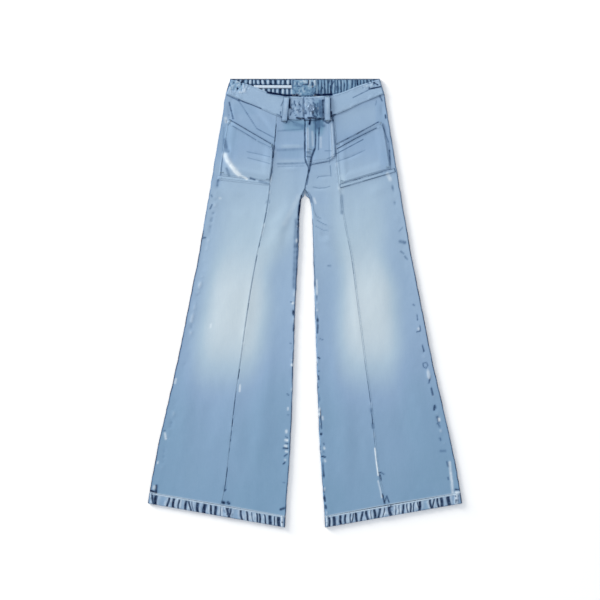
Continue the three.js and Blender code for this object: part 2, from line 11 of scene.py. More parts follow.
import bpy
import numpy as np
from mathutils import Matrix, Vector


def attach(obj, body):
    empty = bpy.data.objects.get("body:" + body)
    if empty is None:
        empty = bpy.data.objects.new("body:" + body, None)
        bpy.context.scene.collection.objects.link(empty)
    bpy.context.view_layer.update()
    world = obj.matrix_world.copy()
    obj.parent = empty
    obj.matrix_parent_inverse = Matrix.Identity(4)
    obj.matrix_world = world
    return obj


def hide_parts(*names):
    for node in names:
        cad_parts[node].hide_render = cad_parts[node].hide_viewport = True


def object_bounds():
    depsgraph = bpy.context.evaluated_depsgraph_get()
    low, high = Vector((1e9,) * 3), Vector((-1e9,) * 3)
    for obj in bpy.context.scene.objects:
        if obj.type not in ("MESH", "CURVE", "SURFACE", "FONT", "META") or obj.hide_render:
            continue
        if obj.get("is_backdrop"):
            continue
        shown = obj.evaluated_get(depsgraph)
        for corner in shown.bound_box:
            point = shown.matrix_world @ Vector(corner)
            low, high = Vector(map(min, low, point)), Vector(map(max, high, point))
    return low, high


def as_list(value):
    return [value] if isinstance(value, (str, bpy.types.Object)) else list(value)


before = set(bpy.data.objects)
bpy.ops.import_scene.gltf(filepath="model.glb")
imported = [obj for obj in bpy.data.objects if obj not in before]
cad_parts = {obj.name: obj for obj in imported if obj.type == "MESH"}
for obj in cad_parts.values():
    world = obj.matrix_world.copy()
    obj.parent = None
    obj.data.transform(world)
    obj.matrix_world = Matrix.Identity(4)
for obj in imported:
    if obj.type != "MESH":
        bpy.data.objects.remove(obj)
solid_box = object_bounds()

low_corner, high_corner = ([round(v, 3) for v in corner] for corner in solid_box)
print(len(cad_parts), "solids, from", low_corner, "to", high_corner)

# %% [markdown]
# ## The lines of the cut
# A jeans pattern is drawn as a few long lines: the side seam, the inseam, the seam down each front and
# the curves of the waistband. Every piece of cloth in this lesson hangs on these lines, so they come
# first, in millimetres. Each is a short table that a smooth function runs through. Drawing each piece by
# hand would also work, but then neighbours would not share their seams.

# %% Sizes and lines of the cut
MM = 0.001
TOP_EDGE = 552.5
WAIST_HALF, WAIST_SEAM_HALF = 184.0, 195.0
GAP = 0.3  # between neighbouring pieces
CLOTH, LEG_FOLD, SAG = 1.5, 3.0, 0.6
BAND_CLOTH, BAND_FOLD = 2.6, 3.6
HEM_CLOTH, HEM_STEP, HEM_ROUNDING = 2.4, 0.2, 0.5
PATCH_CLOTH, PATCH_EDGE = 1.4, 0.7
SEAM_HEIGHT, BAND_HEIGHT = 2 * LEG_FOLD, 2 * BAND_FOLD

# Height y, then the distance x from the centre line.
SIDE_SEAM = [
    (552, 184), (515, 195), (452, 205), (390, 216), (304, 230), (205, 247), (106, 264), (8, 284),
    (-115, 308), (-239, 336), (-362, 364), (-460, 382), (-493, 387),
]
INSEAM = [
    (281, 0), (268, 7), (245, 14), (205, 18), (131, 20), (8, 23.5), (-115, 27.5), (-239, 31.5),
    (-362, 37), (-485, 45.5), (-552, 49.5),
]
FRONT_SEAM = {
    -1: [
        (470, 68), (390, 75), (338, 80), (299, 85), (254, 90), (193, 101), (116, 118), (8, 137),
        (-155, 160), (-239, 172), (-362, 186), (-460, 198), (-530, 214),
    ],
    1: [
        (470, 69), (390, 76), (338, 79), (299, 83), (254, 88), (193, 98), (116, 114), (8, 128),
        (-155, 149), (-239, 161), (-362, 174), (-460, 189), (-530, 212),
    ],
}
FRONT_EDGE = [
    (460, -0.5), (370, -0.5), (352, 0.5), (342, 4), (333, 8.5), (322, 8.5), (312, 6.5), (296, 3),
    (281, 0),
]
# Distance x from the centre line, then the height y.
BAND_FRONT_FOOT = [(0, 450), (44, 454), (70, 462), (100, 474.5), (135, 491), (160, 501.5), (195, 516)]
BAND_FRONT_TOP = [
    (0, 507.5), (44, 510), (74, 514.5), (96, 521), (112, 527.5), (130, 535), (158, 544), (184, 551.5),
]
BAND_BACK_FOOT = [(0, 506), (100, 508), (195, 516)]

# Lines across each front: heights at the side seam, at the front seam and at the inner edge.
FRONT_LINES = {
    -1: [
        (515, 461, 450), (488, 424, 424), (462, 387, 398), (449, 374, 376), (403, 350, 338),
        (358, 324, 314), (315, 299, 294), (305, 289, 281), (290, 275, 268),
    ],
    1: [
        (515, 461, 450), (486, 427, 424), (457, 391, 398), (444, 378, 376), (406, 352, 338),
        (369, 322, 314), (334, 292.5, 294), (324, 282.5, 281), (308, 270, 268),
    ],
}
MOUTH, FLY_FOOT, POCKET_BASE, CROTCH = 2, 4, 6, 7
HEM_TOP = (-467.0, -497.5, -526.0)
HEM_FOOT = (-493.0, -523.0, -TOP_EDGE)
LEG_ROWS = 20


def smooth_curve(table):
    """A smooth function through the table's pairs; each slope comes from the neighbouring rows."""
    at, value = np.array(sorted(table), float).T
    last = len(at) - 1
    before = np.maximum(np.arange(last + 1) - 1, 0)
    after = np.minimum(np.arange(last + 1) + 1, last)
    slope = (value[after] - value[before]) / (at[after] - at[before])

    def curve(x):
        x = np.asarray(x, float)
        i = np.clip(np.searchsorted(at, x, side="left") - 1, 0, last - 1)
        span = at[i + 1] - at[i]
        t = (x - at[i]) / span
        bend = t * t * (3 - 2 * t)
        lean = slope[i] * t * (1 - t) ** 2 - slope[i + 1] * t * t * (1 - t)
        return value[i] + (value[i + 1] - value[i]) * bend + span * lean

    return curve


side_seam_x, inseam_x, front_edge_x = (smooth_curve(t) for t in (SIDE_SEAM, INSEAM, FRONT_EDGE))
front_seam_x = {side: smooth_curve(table) for side, table in FRONT_SEAM.items()}
band_front_foot, band_front_top, band_back_foot = (
    smooth_curve(t) for t in (BAND_FRONT_FOOT, BAND_FRONT_TOP, BAND_BACK_FOOT)
)
print("hem", round(float(side_seam_x(HEM_FOOT[0]) - inseam_x(HEM_FOOT[2]))), "mm across")

# %% [markdown]
# ## Small tools
# Cloth is never quite even, so a few helpers give smooth random values that are the same in each run.
# `soft_step` is the usual smooth ramp, and the two wander functions are value noise: random numbers on
# a grid, with a soft blend between them. Blender's own noise would do too, but plain arrays handle a
# whole piece at once.

# %% Random values and ramps
GRID = 256


def mix(a, b, t):
    return a + (b - a) * t


def soft_step(x, low, high):
    """0 below low, 1 above high and a smooth ramp between them."""
    t = np.clip((x - low) / (high - low), 0, 1)
    return t * t * (3 - 2 * t)


def wander(at, seed):
    """Smooth random values from -1 to 1 along a line, about one swing for each unit."""
    table = np.random.default_rng(seed).uniform(-1, 1, GRID)
    i = np.floor(at).astype(int)
    t = soft_step(at - i, 0, 1)
    return mix(table[i % GRID], table[(i + 1) % GRID], t)


def wander_over(x, y, seed):
    """Smooth random values from -1 to 1 over a plane."""
    table = np.random.default_rng(seed).uniform(-1, 1, (GRID, GRID))
    i, j = np.floor(x).astype(int), np.floor(y).astype(int)
    s, t = soft_step(x - i, 0, 1), soft_step(y - j, 0, 1)
    near = mix(table[i % GRID, j % GRID], table[(i + 1) % GRID, j % GRID], s)
    far = mix(table[i % GRID, (j + 1) % GRID], table[(i + 1) % GRID, (j + 1) % GRID], s)
    return mix(near, far, t)


def bell(x, width):
    return np.exp(-((x / width) ** 2))


# %% [markdown]
# ## Folds and creases
# Laid cloth keeps the memory of being worn: a drag line from the crotch, whiskers at the hips, soft
# rolls down the thigh. Each is one row here, a soft ridge (or trough, where the height is below zero)
# from one point to another, with a bow to one side. A cloth simulation would scatter such creases where
# it likes, so they are placed one by one. The first ten are already in the solids.

# %% Table of folds
# x1, y1, x2, y2, width, height, bow
BIG_FOLDS = [
    (-12, 255, -104, 96, 20, 1.5, 0), (-60, 140, -84, -180, 26, -0.7, 0),
    (-168, 110, -214, -150, 34, 1.1, 0), (-262, -60, -318, -430, 24, 1.2, 0),
    (-96, -130, -118, -470, 26, 1.3, 0), (14, 244, 88, 86, 18, 1.3, 0),
    (56, 120, 74, -160, 24, -0.6, 0), (158, 130, 204, -130, 36, 1.2, 0),
    (246, -40, 312, -440, 26, 1.1, 0), (92, -160, 110, -480, 24, 1.2, 0),
]
FINE_FOLDS = [
    # Right hip, pocket and thigh.
    (-163, 498, -74, 407, 6, -1.1, -9), (-150, 498, -64, 414, 9, 0.8, -9),
    (-187, 498, -176, 444, 5, -0.9, 3), (-178, 492, -168, 436, 7, 0.6, 3),
    (-143, 373, -86, 360, 5, -0.5, 1), (-141, 358, -86, 343, 5, -0.45, 1),
    (-201, 374, -158, 312, 5, 1.3, 4), (-192, 398, -188, 366, 6, -0.9, 0),
    (-70, 431, -10, 428, 5, 0.35, 1), (-70, 384, -8, 384, 7, 0.45, -2),
    (-72, 341, -8, 341, 4, -0.5, 2), (-70, 330, -8, 331, 5, 0.4, 1),
    (-205, 300, -150, 262, 12, 0.7, 8), (-216, 262, -140, 226, 14, -0.6, 8),
    (-24, 232, -74, 150, 9, -0.9, -6), (-30, 262, -96, 176, 13, 0.7, -8),
    (-22, 200, -60, 132, 10, -0.8, 5),
    # Left hip, pocket and thigh.
    (22, 312, 66, 312, 4, -0.45, 1), (4, 283, 64, 284, 4, -0.45, 1),
    (76, 348, 150, 377, 4, -0.5, 2), (90, 470, 186, 500, 12, 0.6, -6),
    (188, 492, 196, 452, 5, -0.7, 2), (200, 420, 212, 388, 6, 0.9, 3),
    (24, 236, 66, 170, 8, -0.9, 6), (30, 206, 70, 186, 6, 0.6, 3), (36, 176, 60, 162, 5, -0.7, 2),
    (30, 160, 66, 148, 6, 0.5, 3), (150, 262, 214, 286, 12, 0.6, -6),
    # Long soft rolls down the legs.
    (-128, 60, -150, -130, 10, 0.5, 4), (-232, 190, -262, 40, 14, -0.6, 6),
    (-206, -190, -246, -380, 20, -0.7, 10), (-84, -60, -96, -260, 14, 0.5, -4),
    (-150, -260, -170, -440, 16, 0.6, 6), (112, 70, 134, -140, 10, 0.5, -4),
    (222, 190, 262, 20, 14, -0.6, -8), (214, -190, 250, -400, 20, -0.7, -8),
    (72, -80, 84, -280, 14, 0.5, 4), (136, -280, 154, -450, 16, 0.6, -6),
]


def beside(x, y, x1, y1, x2, y2, bow):
    """Distance in mm to one side of a bowed line, and a swell that is 1 at its middle and 0 at its ends."""
    length = math.hypot(x2 - x1, y2 - y1)
    along_x, along_y = (x2 - x1) / length, (y2 - y1) / length
    share = np.clip(((x - x1) * along_x + (y - y1) * along_y) / length, 0, 1)
    swell = np.sin(np.pi * share)
    return (x - x1) * along_y - (y - y1) * along_x - bow * swell, swell


def fold_height(x, y, folds):
    """Height of all the folds at each point."""
    height = np.zeros(np.broadcast(x, y).shape)
    for x1, y1, x2, y2, width, rise, bow in folds:
        aside, swell = beside(x, y, x1, y1, x2, y2, bow)
        height += rise * swell**1.5 * bell(aside, width)
    return height


print(len(BIG_FOLDS) + len(FINE_FOLDS), "folds on the fronts")

# %% [markdown]
# ## Marks that wear leaves, and painted shade
# Where a crease is sharp the dye stays dark in it, and where cloth stands proud it is rubbed pale. Each
# mark is one row: how wide it is, how strong, and the points that it runs through. Noise could scatter
# such marks too, but real ones sit where cloth is thick or bends: at the pocket mouths and all along the
# seams. Some of the dark lines are painted shade instead: under the upper edge of the front waistband, in
# the hollow beside the button, in the fold beside the fly, beside the right belt loop and along the right
# leg's inner edge. A few spots are crumpled all over, and there a patch of noise suits better.

# %% Tables of marks
# Width in mm, strength from 0 to 1, then the points (x, y).
INK_AND_SHADE_LINES = [
    # Right hip and pocket.
    (1.5, 0.5, (-163, 498), (-118, 429), (-74, 407)), (2.2, 0.75, (-186.5, 494), (-177, 454)),
    (1.8, 0.8, (-185, 451.5), (-133, 421), (-81, 391)), (6, 0.42, (-198, 402), (-193, 376)),
    (5, 0.38, (-197, 388), (-189, 374)), (1.6, 0.55, (-203, 364), (-207, 316)),
    (1.4, 0.3, (-200, 432), (-203, 364)),
    (4, 0.4, (-193, 331), (-187, 315)), (1.5, 0.5, (-178, 436), (-150, 420), (-121, 402)),
    (1.4, 0.35, (-116, 399), (-84, 383)), (1.3, 0.3, (-143, 373), (-110, 366), (-86, 360)),
    (1.3, 0.3, (-141, 358), (-110, 350), (-86, 343)), (1.8, 0.95, (-79.5, 390), (-79.5, 358)),
    (1.4, 0.5, (-79.5, 358), (-80.5, 336)), (1.6, 0.7, (-80.5, 336), (-84, 316), (-86, 304)),
    (3, 0.6, (-134, 308), (-124, 304)), (4, 0.35, (-112, 300), (-90, 294)),
    (3, 0.45, (-214, 303), (-216, 290)),
    (2.4, 0.5, (-231, 266), (-229, 262)), (2.4, 0.5, (-229, 242), (-234, 232)),
    (1.5, 0.7, (-192, 512), (-163, 499)), (3, 0.9, (-164, 500), (-161, 499)),
    (1.5, 0.75, (-160, 499), (-130, 488), (-108, 479)),
    # Beside the fly.
    (2, 0.3, (-67, 424), (-2, 429)), (4, 0.25, (-67, 377), (-2, 380)), (3, 0.3, (-67, 343), (-2, 345)),
    (1.5, 0.25, (-67, 336), (-2, 338)), (7, 0.35, (-24, 442), (-3, 434)), (1.6, 0.6, (1, 446), (1, 346)),
    # Down the fly to the crotch. The first four lines are painted shade in the fold beside the fly.
    (2.4, 0.75, (26, 451), (26, 400), (25, 382)), (3.2, 0.9, (24, 380), (16, 360), (13, 340), (9, 323)),
    (2.2, 0.75, (9, 323), (7, 308), (4, 292)), (2.2, 0.8, (1, 284), (-4, 273)),
    (2.2, 0.85, (35, 432), (34, 412)), (1.7, 0.5, (34, 412), (33, 378)), (9, 0.6, (33, 449), (32, 434)),
    (6, 0.45, (24, 446), (46, 437)), (1.3, 0.3, (59, 441), (60, 345)),
    (1.4, 0.45, (62, 338), (63, 326)), (1.4, 0.5, (63, 326), (64, 313)),
    (1.6, 0.5, (2, 372), (12, 372)), (1.8, 0.7, (2, 361), (13, 360)),
    (1.3, 0.35, (30, 308), (34, 312), (62, 314)),
    (1.3, 0.35, (20, 286), (34, 283), (50, 284), (62, 288)), (1.4, 0.4, (49, 375), (66, 375)),
    (1.4, 0.45, (54, 355), (75, 364)), (3, 0.4, (10, 266), (17, 248)),
    # The closure. The lines between the button and the left belt loop are painted shade in the hollow there,
    # and the first line is painted shadow beside the right belt loop.
    (2.8, 1.1, (-38, 501), (-38, 481)), (2.2, 0.9, (-37, 485), (-32, 477)),
    (1.6, 0.8, (-43, 478), (-43, 458)),
    (2.6, 1.0, (-43, 464), (-42, 453)), (1.8, 0.7, (-42, 454), (-46, 444)),
    (1.5, 0.55, (-42, 454), (-27, 445)),
    (1.4, 0.7, (-50, 507), (-54, 496), (-59, 486)), (1.9, 0.7, (-60, 471), (-60, 465)),
    (1.6, 0.8, (-69, 465), (-61, 461), (-55, 456), (-44, 454)), (1.8, 0.75, (-26, 498), (-26, 491)),
    (1.9, 0.7, (-34, 469), (-36, 463)), (1.7, 0.75, (-20, 475), (-15, 476)),
    (1.8, 0.45, (-12, 484), (-8, 483)),
    (2.0, 0.5, (-24, 462), (-20, 463)), (1.8, 0.8, (-4, 506), (-5, 480), (-4, 460)),
    (3.0, 1.1, (-20, 456), (-12, 454), (-3, 455)), (2.4, 0.95, (-1, 454), (0, 448)),
    (1.6, 0.8, (0, 453), (10, 453)),
    (3.2, 1.1, (8, 456), (25, 455)), (3.6, 1.0, (13, 453), (11, 441)), (3.0, 0.95, (25, 454), (45, 455)),
    (1.6, 0.75, (24, 490), (25, 472)), (2.0, 0.75, (27, 471), (31, 462)),
    (3.0, 0.8, (19, 471), (20, 464)),
    (2.6, 0.6, (20, 494), (22, 491)), (2.0, 0.4, (10, 477), (11, 463)), (2.6, 0.45, (18, 503), (22, 499)),
    (5.0, 0.6, (39, 497), (40, 458)), (2.4, 0.7, (31, 492), (32, 474)), (2.0, 0.6, (35, 500), (36, 462)),
    (3.0, 0.8, (20, 462), (28, 458)), (2.4, 0.7, (27, 482), (29, 470)), (7.0, 0.45, (27, 450), (42, 446)),
    (5.0, 0.35, (26, 446), (27, 424)), (2.6, 1.0, (44, 500), (45, 449)), (3.4, 0.9, (44, 499), (48, 499)),
    (1.6, 0.85, (63, 503), (63, 472)), (3.4, 1.1, (64, 471), (66, 456)), (2.6, 1.0, (66, 456), (69, 449)),
    (2.2, 1.0, (57, 463), (66, 463), (75, 464)), (2.0, 0.85, (47, 449), (53, 444), (58, 443), (64, 450)),
    (1.4, 0.7, (72, 463), (68, 455)),
    # Inside of the waistband and the label. The first two lines are painted shadow under the upper edge of
    # the front waistband.
    (3.6, 1.2, (-92, 519), (-76, 516), (-50, 512), (-18, 512)),
    (4.0, 1.2, (25, 513), (44, 513), (66, 514)),
    (1.8, 0.7, (64, 514), (80, 519)), (2.2, 1.0, (-4, 539), (8, 538), (9, 549)),
    (2.8, 1.0, (18, 543), (19, 532)),
    (2.4, 0.7, (-20, 542), (-19, 538)), (2.4, 0.7, (-18, 534), (-13, 534)),
    (2.0, 0.6, (-10, 533), (-6, 538)),
    (2.0, 0.6, (0, 530), (-1, 526)), (2.0, 0.45, (-18, 522), (-12, 523)),
    (2.4, 0.7, (-22, 516), (-14, 513)),
    (2.0, 0.6, (15, 515), (19, 512)), (1.8, 0.5, (19, 530), (20, 517)),
    (2.0, 0.7, (-30, 548), (-30, 526)),
    (2.2, 1.0, (60, 548), (58, 541)), (2.0, 0.9, (71, 546), (66, 538)), (2.4, 1.0, (63, 535), (64, 517)),
    (2.2, 0.9, (50, 528), (51, 516)), (2.4, 1.0, (43, 530), (38, 522), (38, 515)),
    (2.4, 0.9, (88, 533), (88, 527)),
    (2.2, 0.6, (77, 534), (78, 524)), (2.2, 1.0, (158, 527), (187, 533)),
    # Left hip and pocket.
    (2, 0.6, (190, 439), (205, 397)), (2.2, 0.75, (208, 377), (210, 340)),
    (1.4, 0.4, (206, 397), (208, 375)),
    (1.3, 0.35, (76, 348), (112, 360), (148, 377)), (5, 0.3, (90, 264), (91, 222)),
    (1.4, 0.4, (8, 274), (16, 262), (20, 244), (22, 228)), (1.5, 0.3, (22, 228), (28, 214), (40, 208)),
    (1.5, 0.3, (26, 190), (44, 180), (58, 178)), (1.6, 0.35, (30, 204), (44, 196), (54, 192)),
    (2.2, 0.6, (184, 511), (190, 498)), (1.6, 0.4, (176, 498), (174, 488)),
    (2.4, 0.9, (198, 463), (199, 456)),
    (1.5, 0.85, (79, 380), (124, 405), (176, 431)),
    (1.4, 0.65, (70, 366), (80, 369), (143, 403)), (1.6, 0.95, (78, 391), (129, 417), (181, 446)),
    (1.5, 0.55, (118, 506), (161, 527)), (2.6, 1.0, (128, 549), (129, 539)),
    # Right leg, outer edge and seam.
    (2.4, 0.75, (-251, 161), (-245, 161)), (1.8, 0.6, (-350, -315), (-344, -314)),
    (3.8, 1.1, (-366, -450), (-368, -470)), (3.4, 1.1, (-380, -462), (-366, -466)),
    (3, 0.8, (-196, -459), (-198, -462)), (4.4, 1.2, (-203, -490), (-200, -492)),
    (4, 1.1, (-190, -491), (-187, -493)),
    # Right leg, inner edge. The first three lines are painted shade along the turned inner edge below the
    # crotch.
    (3.8, 1.1, (-8, 264), (-11, 252), (-14, 236), (-16, 205)),
    (3.0, 0.85, (-16, 205), (-18, 180), (-18.5, 150)),
    (7, 0.4, (-20, 205), (-22, 160), (-24, 100), (-26, 40)),
    (2.0, 0.75, (-19, 150), (-23, 20), (-27, -60)),
    (2, 0.7, (-35, 3), (-29, 2)), (2, 0.5, (-37, -98), (-34, -100)), (1.8, 0.8, (-29, -123), (-31, -185)),
    (2, 0.7, (-44, -224), (-40, -226)), (2, 0.45, (-43, -275), (-40, -276)),
    (1.7, 0.7, (-48, -329), (-43, -331)),
    (1.7, 0.7, (-48, -345), (-42, -346)), (2.0, 0.95, (-54, -357), (-42, -358)),
    (2.2, 0.9, (-51, -377), (-44, -372)), (2.2, 0.85, (-53, -396), (-49, -392)),
    (2, 0.45, (-54, -441), (-50, -442)),
    (3.5, 0.9, (-60, -508), (-51, -505)),
    # Left leg, inner edge.
    (1.6, 0.75, (20, 136), (22, 101), (25, 45)), (2, 0.6, (28, 42), (29, 40)),
    (1.6, 0.45, (37, -88), (44, -90)),
    (2.2, 0.95, (32, -134), (36, -136)), (2, 0.55, (32, -167), (35, -168)),
    (2.4, 0.9, (33, -180), (34, -187)),
    (2.0, 0.9, (37, -262), (39, -285), (41, -308)), (2.4, 0.55, (46, -346), (47, -348)),
    (2.2, 0.45, (46, -366), (47, -367)), (2.2, 1.0, (41, -377), (50, -379)),
    (2.0, 0.8, (45, -451), (47, -466)),
    # Left leg, outer edge.
    (5, 0.5, (235, 152), (246, 149)), (2.6, 0.4, (236, 127), (243, 122)),
    (2.6, 0.45, (246, 115), (252, 108)),
    (2.6, 0.4, (57, 92), (63, 92)), (2.2, 0.35, (232, 177), (240, 186)), (2, 0.5, (266, -3), (270, -6)),
    (2.2, 0.6, (276, -29), (277, -41)),
    (1.9, 0.7, (283, -56), (284, -69), (276, -71)), (2.2, 0.85, (289, -104), (293, -118)),
    (1.8, 0.6, (291, -147), (299, -147), (303, -153), (298, -160), (292, -157), (291, -147)),
    (2.0, 0.75, (309, -180), (305, -197)), (2.4, 0.85, (311, -209), (315, -227)),
    (3.0, 1.0, (319, -253), (318, -262)),
    (2, 0.6, (325, -296), (331, -301)), (2.6, 0.65, (332, -332), (334, -338)),
    (4, 0.35, (334, -364), (345, -364)),
    (2.6, 0.75, (350, -391), (353, -402)), (2.0, 0.6, (351, -429), (354, -434)),
    (2.4, 0.9, (370, -459), (380, -459)),
    # Left leg, lower end of the seam.
    (1.9, 0.8, (180, -419), (187, -417), (195, -422)), (2.4, 0.85, (184, -422), (187, -435)),
    (2.6, 0.95, (191, -471), (196, -493)), (2.0, 0.85, (196, -490), (201, -475), (207, -490)),
]
CHALK_LINES = [
    (7, 0.75, (-197, 364), (-191, 351), (-182, 338)), (7, 0.65, (-190, 352), (-180, 337), (-170, 326)),
    (6, 1.1, (-182, 338), (-173, 326), (-162, 316)),
    (3.2, 1.0, (-162, 316), (-143, 306)), (5, 0.45, (203, 318), (210, 304)),
    (7, 0.16, (-16, 262), (-34, 226), (-50, 196)), (3, 0.45, (22, 258), (26, 246)),
    (2.4, 0.8, (-160, -202), (-161, -217)),
    (1.8, 1.0, (172, -357), (175, -387), (180, -424)),
    (2.2, 0.5, (180, -438), (186, -463), (189, -478)), (3.4, 0.3, (6, 430), (7, 378)),
    (3, 0.25, (18, 422), (19, 388)),
    (3, 0.2, (39, 408), (39, 384)), (4, 0.2, (66, 440), (68, 360)), (5, 0.4, (-196, 455), (-194, 447)),
    (3.4, 0.4, (-50, 500), (-48, 465)),
    (3.2, 0.4, (54, 500), (55, 466)), (3.0, 0.5, (54, 451), (62, 452)), (2.4, 0.7, (24, 548), (25, 538)),
    (2.4, 0.4, (12, 549), (12, 540)), (3, 0.4, (-4, 547), (3, 544)), (2.6, 0.3, (22, 511), (34, 509)),
    (2.6, 0.6, (-232, -52), (-233, -60)),
    (3, 0.35, (-210, 259), (-208, 258)), (3, 0.55, (-318, -187), (-320, -197)),
    (3, 0.65, (-345, -320), (-343, -334)), (2.4, 0.5, (-362, -391), (-363, -394)),
    (4, 0.6, (-371, -452), (-372, -456)),
    (2.6, 0.55, (-42, -258), (-42, -262)), (3.4, 0.65, (-46, -314), (-46, -318)),
    (3.2, 0.8, (-48, -337), (-44, -338)),
    (3.2, 0.8, (-49, -351), (-46, -352)), (3, 0.7, (-47, -365), (-44, -366)),
    (3, 0.5, (-49, -385), (-48, -386)),
    (2.4, 0.6, (29, 57), (30, 22)), (2.8, 0.6, (43, -280), (44, -286)), (3, 0.6, (47, -356), (48, -358)),
    (3, 0.55, (49, -387), (50, -389)), (3, 0.5, (279, -62), (280, -64)),
    (3.4, 0.55, (330, -284), (331, -289)),
    (3.6, 0.6, (356, -392), (361, -436), (365, -480)), (3.4, 0.8, (371, -466), (381, -466)),
]
# Middle x and y, half width, half height, strength.
CRUMPLES = [
    (0, 482, 46, 24, 0.5), (159, 538, 28, 13, 0.62), (-165, 532, 30, 20, 0.85), (-187, 450, 8, 16, 0.6),
    (62, 470, 14, 16, 0.3),
]


def from_line(x, y, points):
    """Distance in mm from a line through these points."""
    nearest = np.full(np.broadcast(x, y).shape, np.inf)
    for (x1, y1), (x2, y2) in zip(points, points[1:]):
        across, up = x2 - x1, y2 - y1
        share = np.clip(((x - x1) * across + (y - y1) * up) / (across**2 + up**2), 0, 1)
        nearest = np.minimum(nearest, np.hypot(x - x1 - share * across, y - y1 - share * up))
    return nearest


def flat_bell(x, width):
    """A bell whose top is flat, for lines that are dark right across."""
    return np.minimum(1, 1.5 * bell(x, 0.75 * width))


def marks(x, y, table):
    """The strongest of the drawn marks at each point, from 0 to 1."""
    strongest = np.zeros(np.broadcast(x, y).shape)
    for width, strength, *points in table:
        strongest = np.maximum(strongest, strength * flat_bell(from_line(x, y, points), width))
    return strongest * (0.9 + 0.2 * wander_over(x / 7, y / 7, 26))


def crumple(x, y):
    """Short random folds from -1 to 1 in the crumpled spots."""
    window = np.zeros(np.broadcast(x, y).shape)
    for at_x, at_y, wide, tall, strength in CRUMPLES:
        away = np.hypot((x - at_x) / wide, (y - at_y) / tall)
        window = np.maximum(window, strength * (1 - soft_step(away, 0.6, 1.25)))
    return window * (0.9 * wander_over(x / 4.6, y / 8, 21) + 0.6 * wander_over(x / 2.6, y / 3.2, 22))


print(len(INK_AND_SHADE_LINES), "dark marks and", len(CHALK_LINES), "pale ones")

# %% [markdown]
# ## Seams that rope and pucker
# After a few washes the thread has shrunk more than the cloth, so every seam pulls the cloth into short
# waves. The dye rubs off the crests and stays in the hollows, which is what makes an old seam easy to
# see. One function gives the waves beside any seam, and the same number later drives the colour.

# %% Waves beside a seam
SIDE, SEAM, INNER = 0, 1, 2
PUCKERS = {
    # Pitch along the seam, distance in, how wide they are, height in mm, and where along y they are strong.
    SIDE: dict(pitch=15, centre=17, reach=4.5, height=0.8, strong=(330, -470)),
    INNER: dict(pitch=14, centre=4, reach=4, height=0.9, strong=(190, -520)),
    SEAM: dict(pitch=19, centre=2, reach=3, height=0.45, strong=(440, -520)),
}
SEAM_WOBBLE = 0.6


def pucker(end, distance, y, seed):
    """Signed waves from -1 to 1, from their distance in mm to the seam and the height y."""
    p = PUCKERS[end]
    at = y / p["pitch"]
    wave = 0.7 * wander(at, seed) + 0.45 * wander(2.3 * at, seed + 1)
    patchy = 0.3 + 0.7 * np.clip(0.5 + wander(y / 95, seed + 2), 0, 1)
    high, low = p["strong"]
    inside = soft_step(y, low - 40, low + 40) * (1 - soft_step(y, high - 40, high + 40))
    near = bell(distance - p["centre"] - 3 * wander(y / 40, seed + 3), p["reach"])
    return wave * patchy * near * (0.35 + 0.65 * inside)


# %% [markdown]
# ## The fronts as a surface
# A front is a set of rows that run from the side seam to the front seam, and on to the inner edge. The
# function below answers one question for a whole array at once: where is the point that lies a share
# `u` across row `v`? The panels use it, and so do the pockets, the fly and the stitches, so nothing can
# float or sink.

# %% Where a point of a front lies
THIGH_FULLNESS = {-1: 4.0, 1: 0.0}  # mm that the inner thigh stands out over the cut


def side_edge(side, y):
    """x of an outseam, which wavers a little."""
    return side * (side_seam_x(y) + SEAM_WOBBLE * wander(y / 13, 31 + side))


def inner_edge(side, y):
    """x of an inseam, which wavers a little; the right thigh is a little fuller."""
    below = INSEAM[0][0] - y
    wobble = SEAM_WOBBLE * wander(y / 12, 41 + side) * soft_step(below, 0, 40)
    fuller = THIGH_FULLNESS[side] * soft_step(below, 0, 50) * (1 - soft_step(below, 120, 320))
    return side * (inseam_x(np.minimum(y, INSEAM[0][0])) + wobble - fuller)


def row_heights(side, v):
    """Heights of row v at the side seam, the front seam and the inner edge."""
    lines = np.array(FRONT_LINES[side], float)
    last = len(lines) - 1
    v = np.asarray(v, float)
    i = np.clip(np.floor(v).astype(int), 0, last - 1)
    upper = lines[i] + (lines[i + 1] - lines[i]) * (v - i)[..., None]
    leg = (np.maximum(v, last) - last)[..., None] / LEG_ROWS
    lower = lines[last] + (np.array(HEM_TOP) + GAP - lines[last]) * leg
    return np.where((v > last)[..., None], lower, upper)


def row_end(side, which, heights):
    """Plan x and y of one end of each row."""
    y = heights[..., which]
    if which == SIDE:
        return side_edge(side, y), y
    if which == SEAM:
        return side * front_seam_x[side](y), y
    above = front_edge_x(np.maximum(y, FRONT_EDGE[-1][0]))
    return np.where(y < INSEAM[0][0], inner_edge(side, y), above), y


def front_at(side, start, stop, u, v):
    """Plan x, y, height z and row length at the share u from start to stop of row v."""
    heights = row_heights(side, v)
    (ax, ay), (bx, by) = row_end(side, start, heights), row_end(side, stop, heights)
    x, y = mix(ax, bx, u), mix(ay, by, u)
    first = row_heights(side, np.zeros_like(v))
    straight = mix(first[..., start], first[..., stop], u)
    y = y + np.clip(1 - v, 0, 1) * (band_front_foot(np.abs(x)) - GAP - straight)
    length = np.hypot(bx - ax, by - ay)
    z = SEAM_HEIGHT - SAG * (1 - (2 * np.clip(u, 0, 1) - 1) ** 4)
    z = z + fold_height(x, y, BIG_FOLDS) + fold_height(x, y, FINE_FOLDS) + 0.5 * crumple(x, y)
    z = z + 0.35 * wander_over(x / 46, y / 90, 5) + 0.12 * wander_over(x / 15, y / 24, 6)
    for end, gone in ((start, u * length), (stop, (1 - u) * length)):
        in_leg = 1.0 if end != INNER else soft_step(-y, -INSEAM[0][0], -INSEAM[0][0] + 30)
        z = z + PUCKERS[end]["height"] * in_leg * pucker(end, gone, y, 100 + 10 * end + side)
    return x, y, z, length


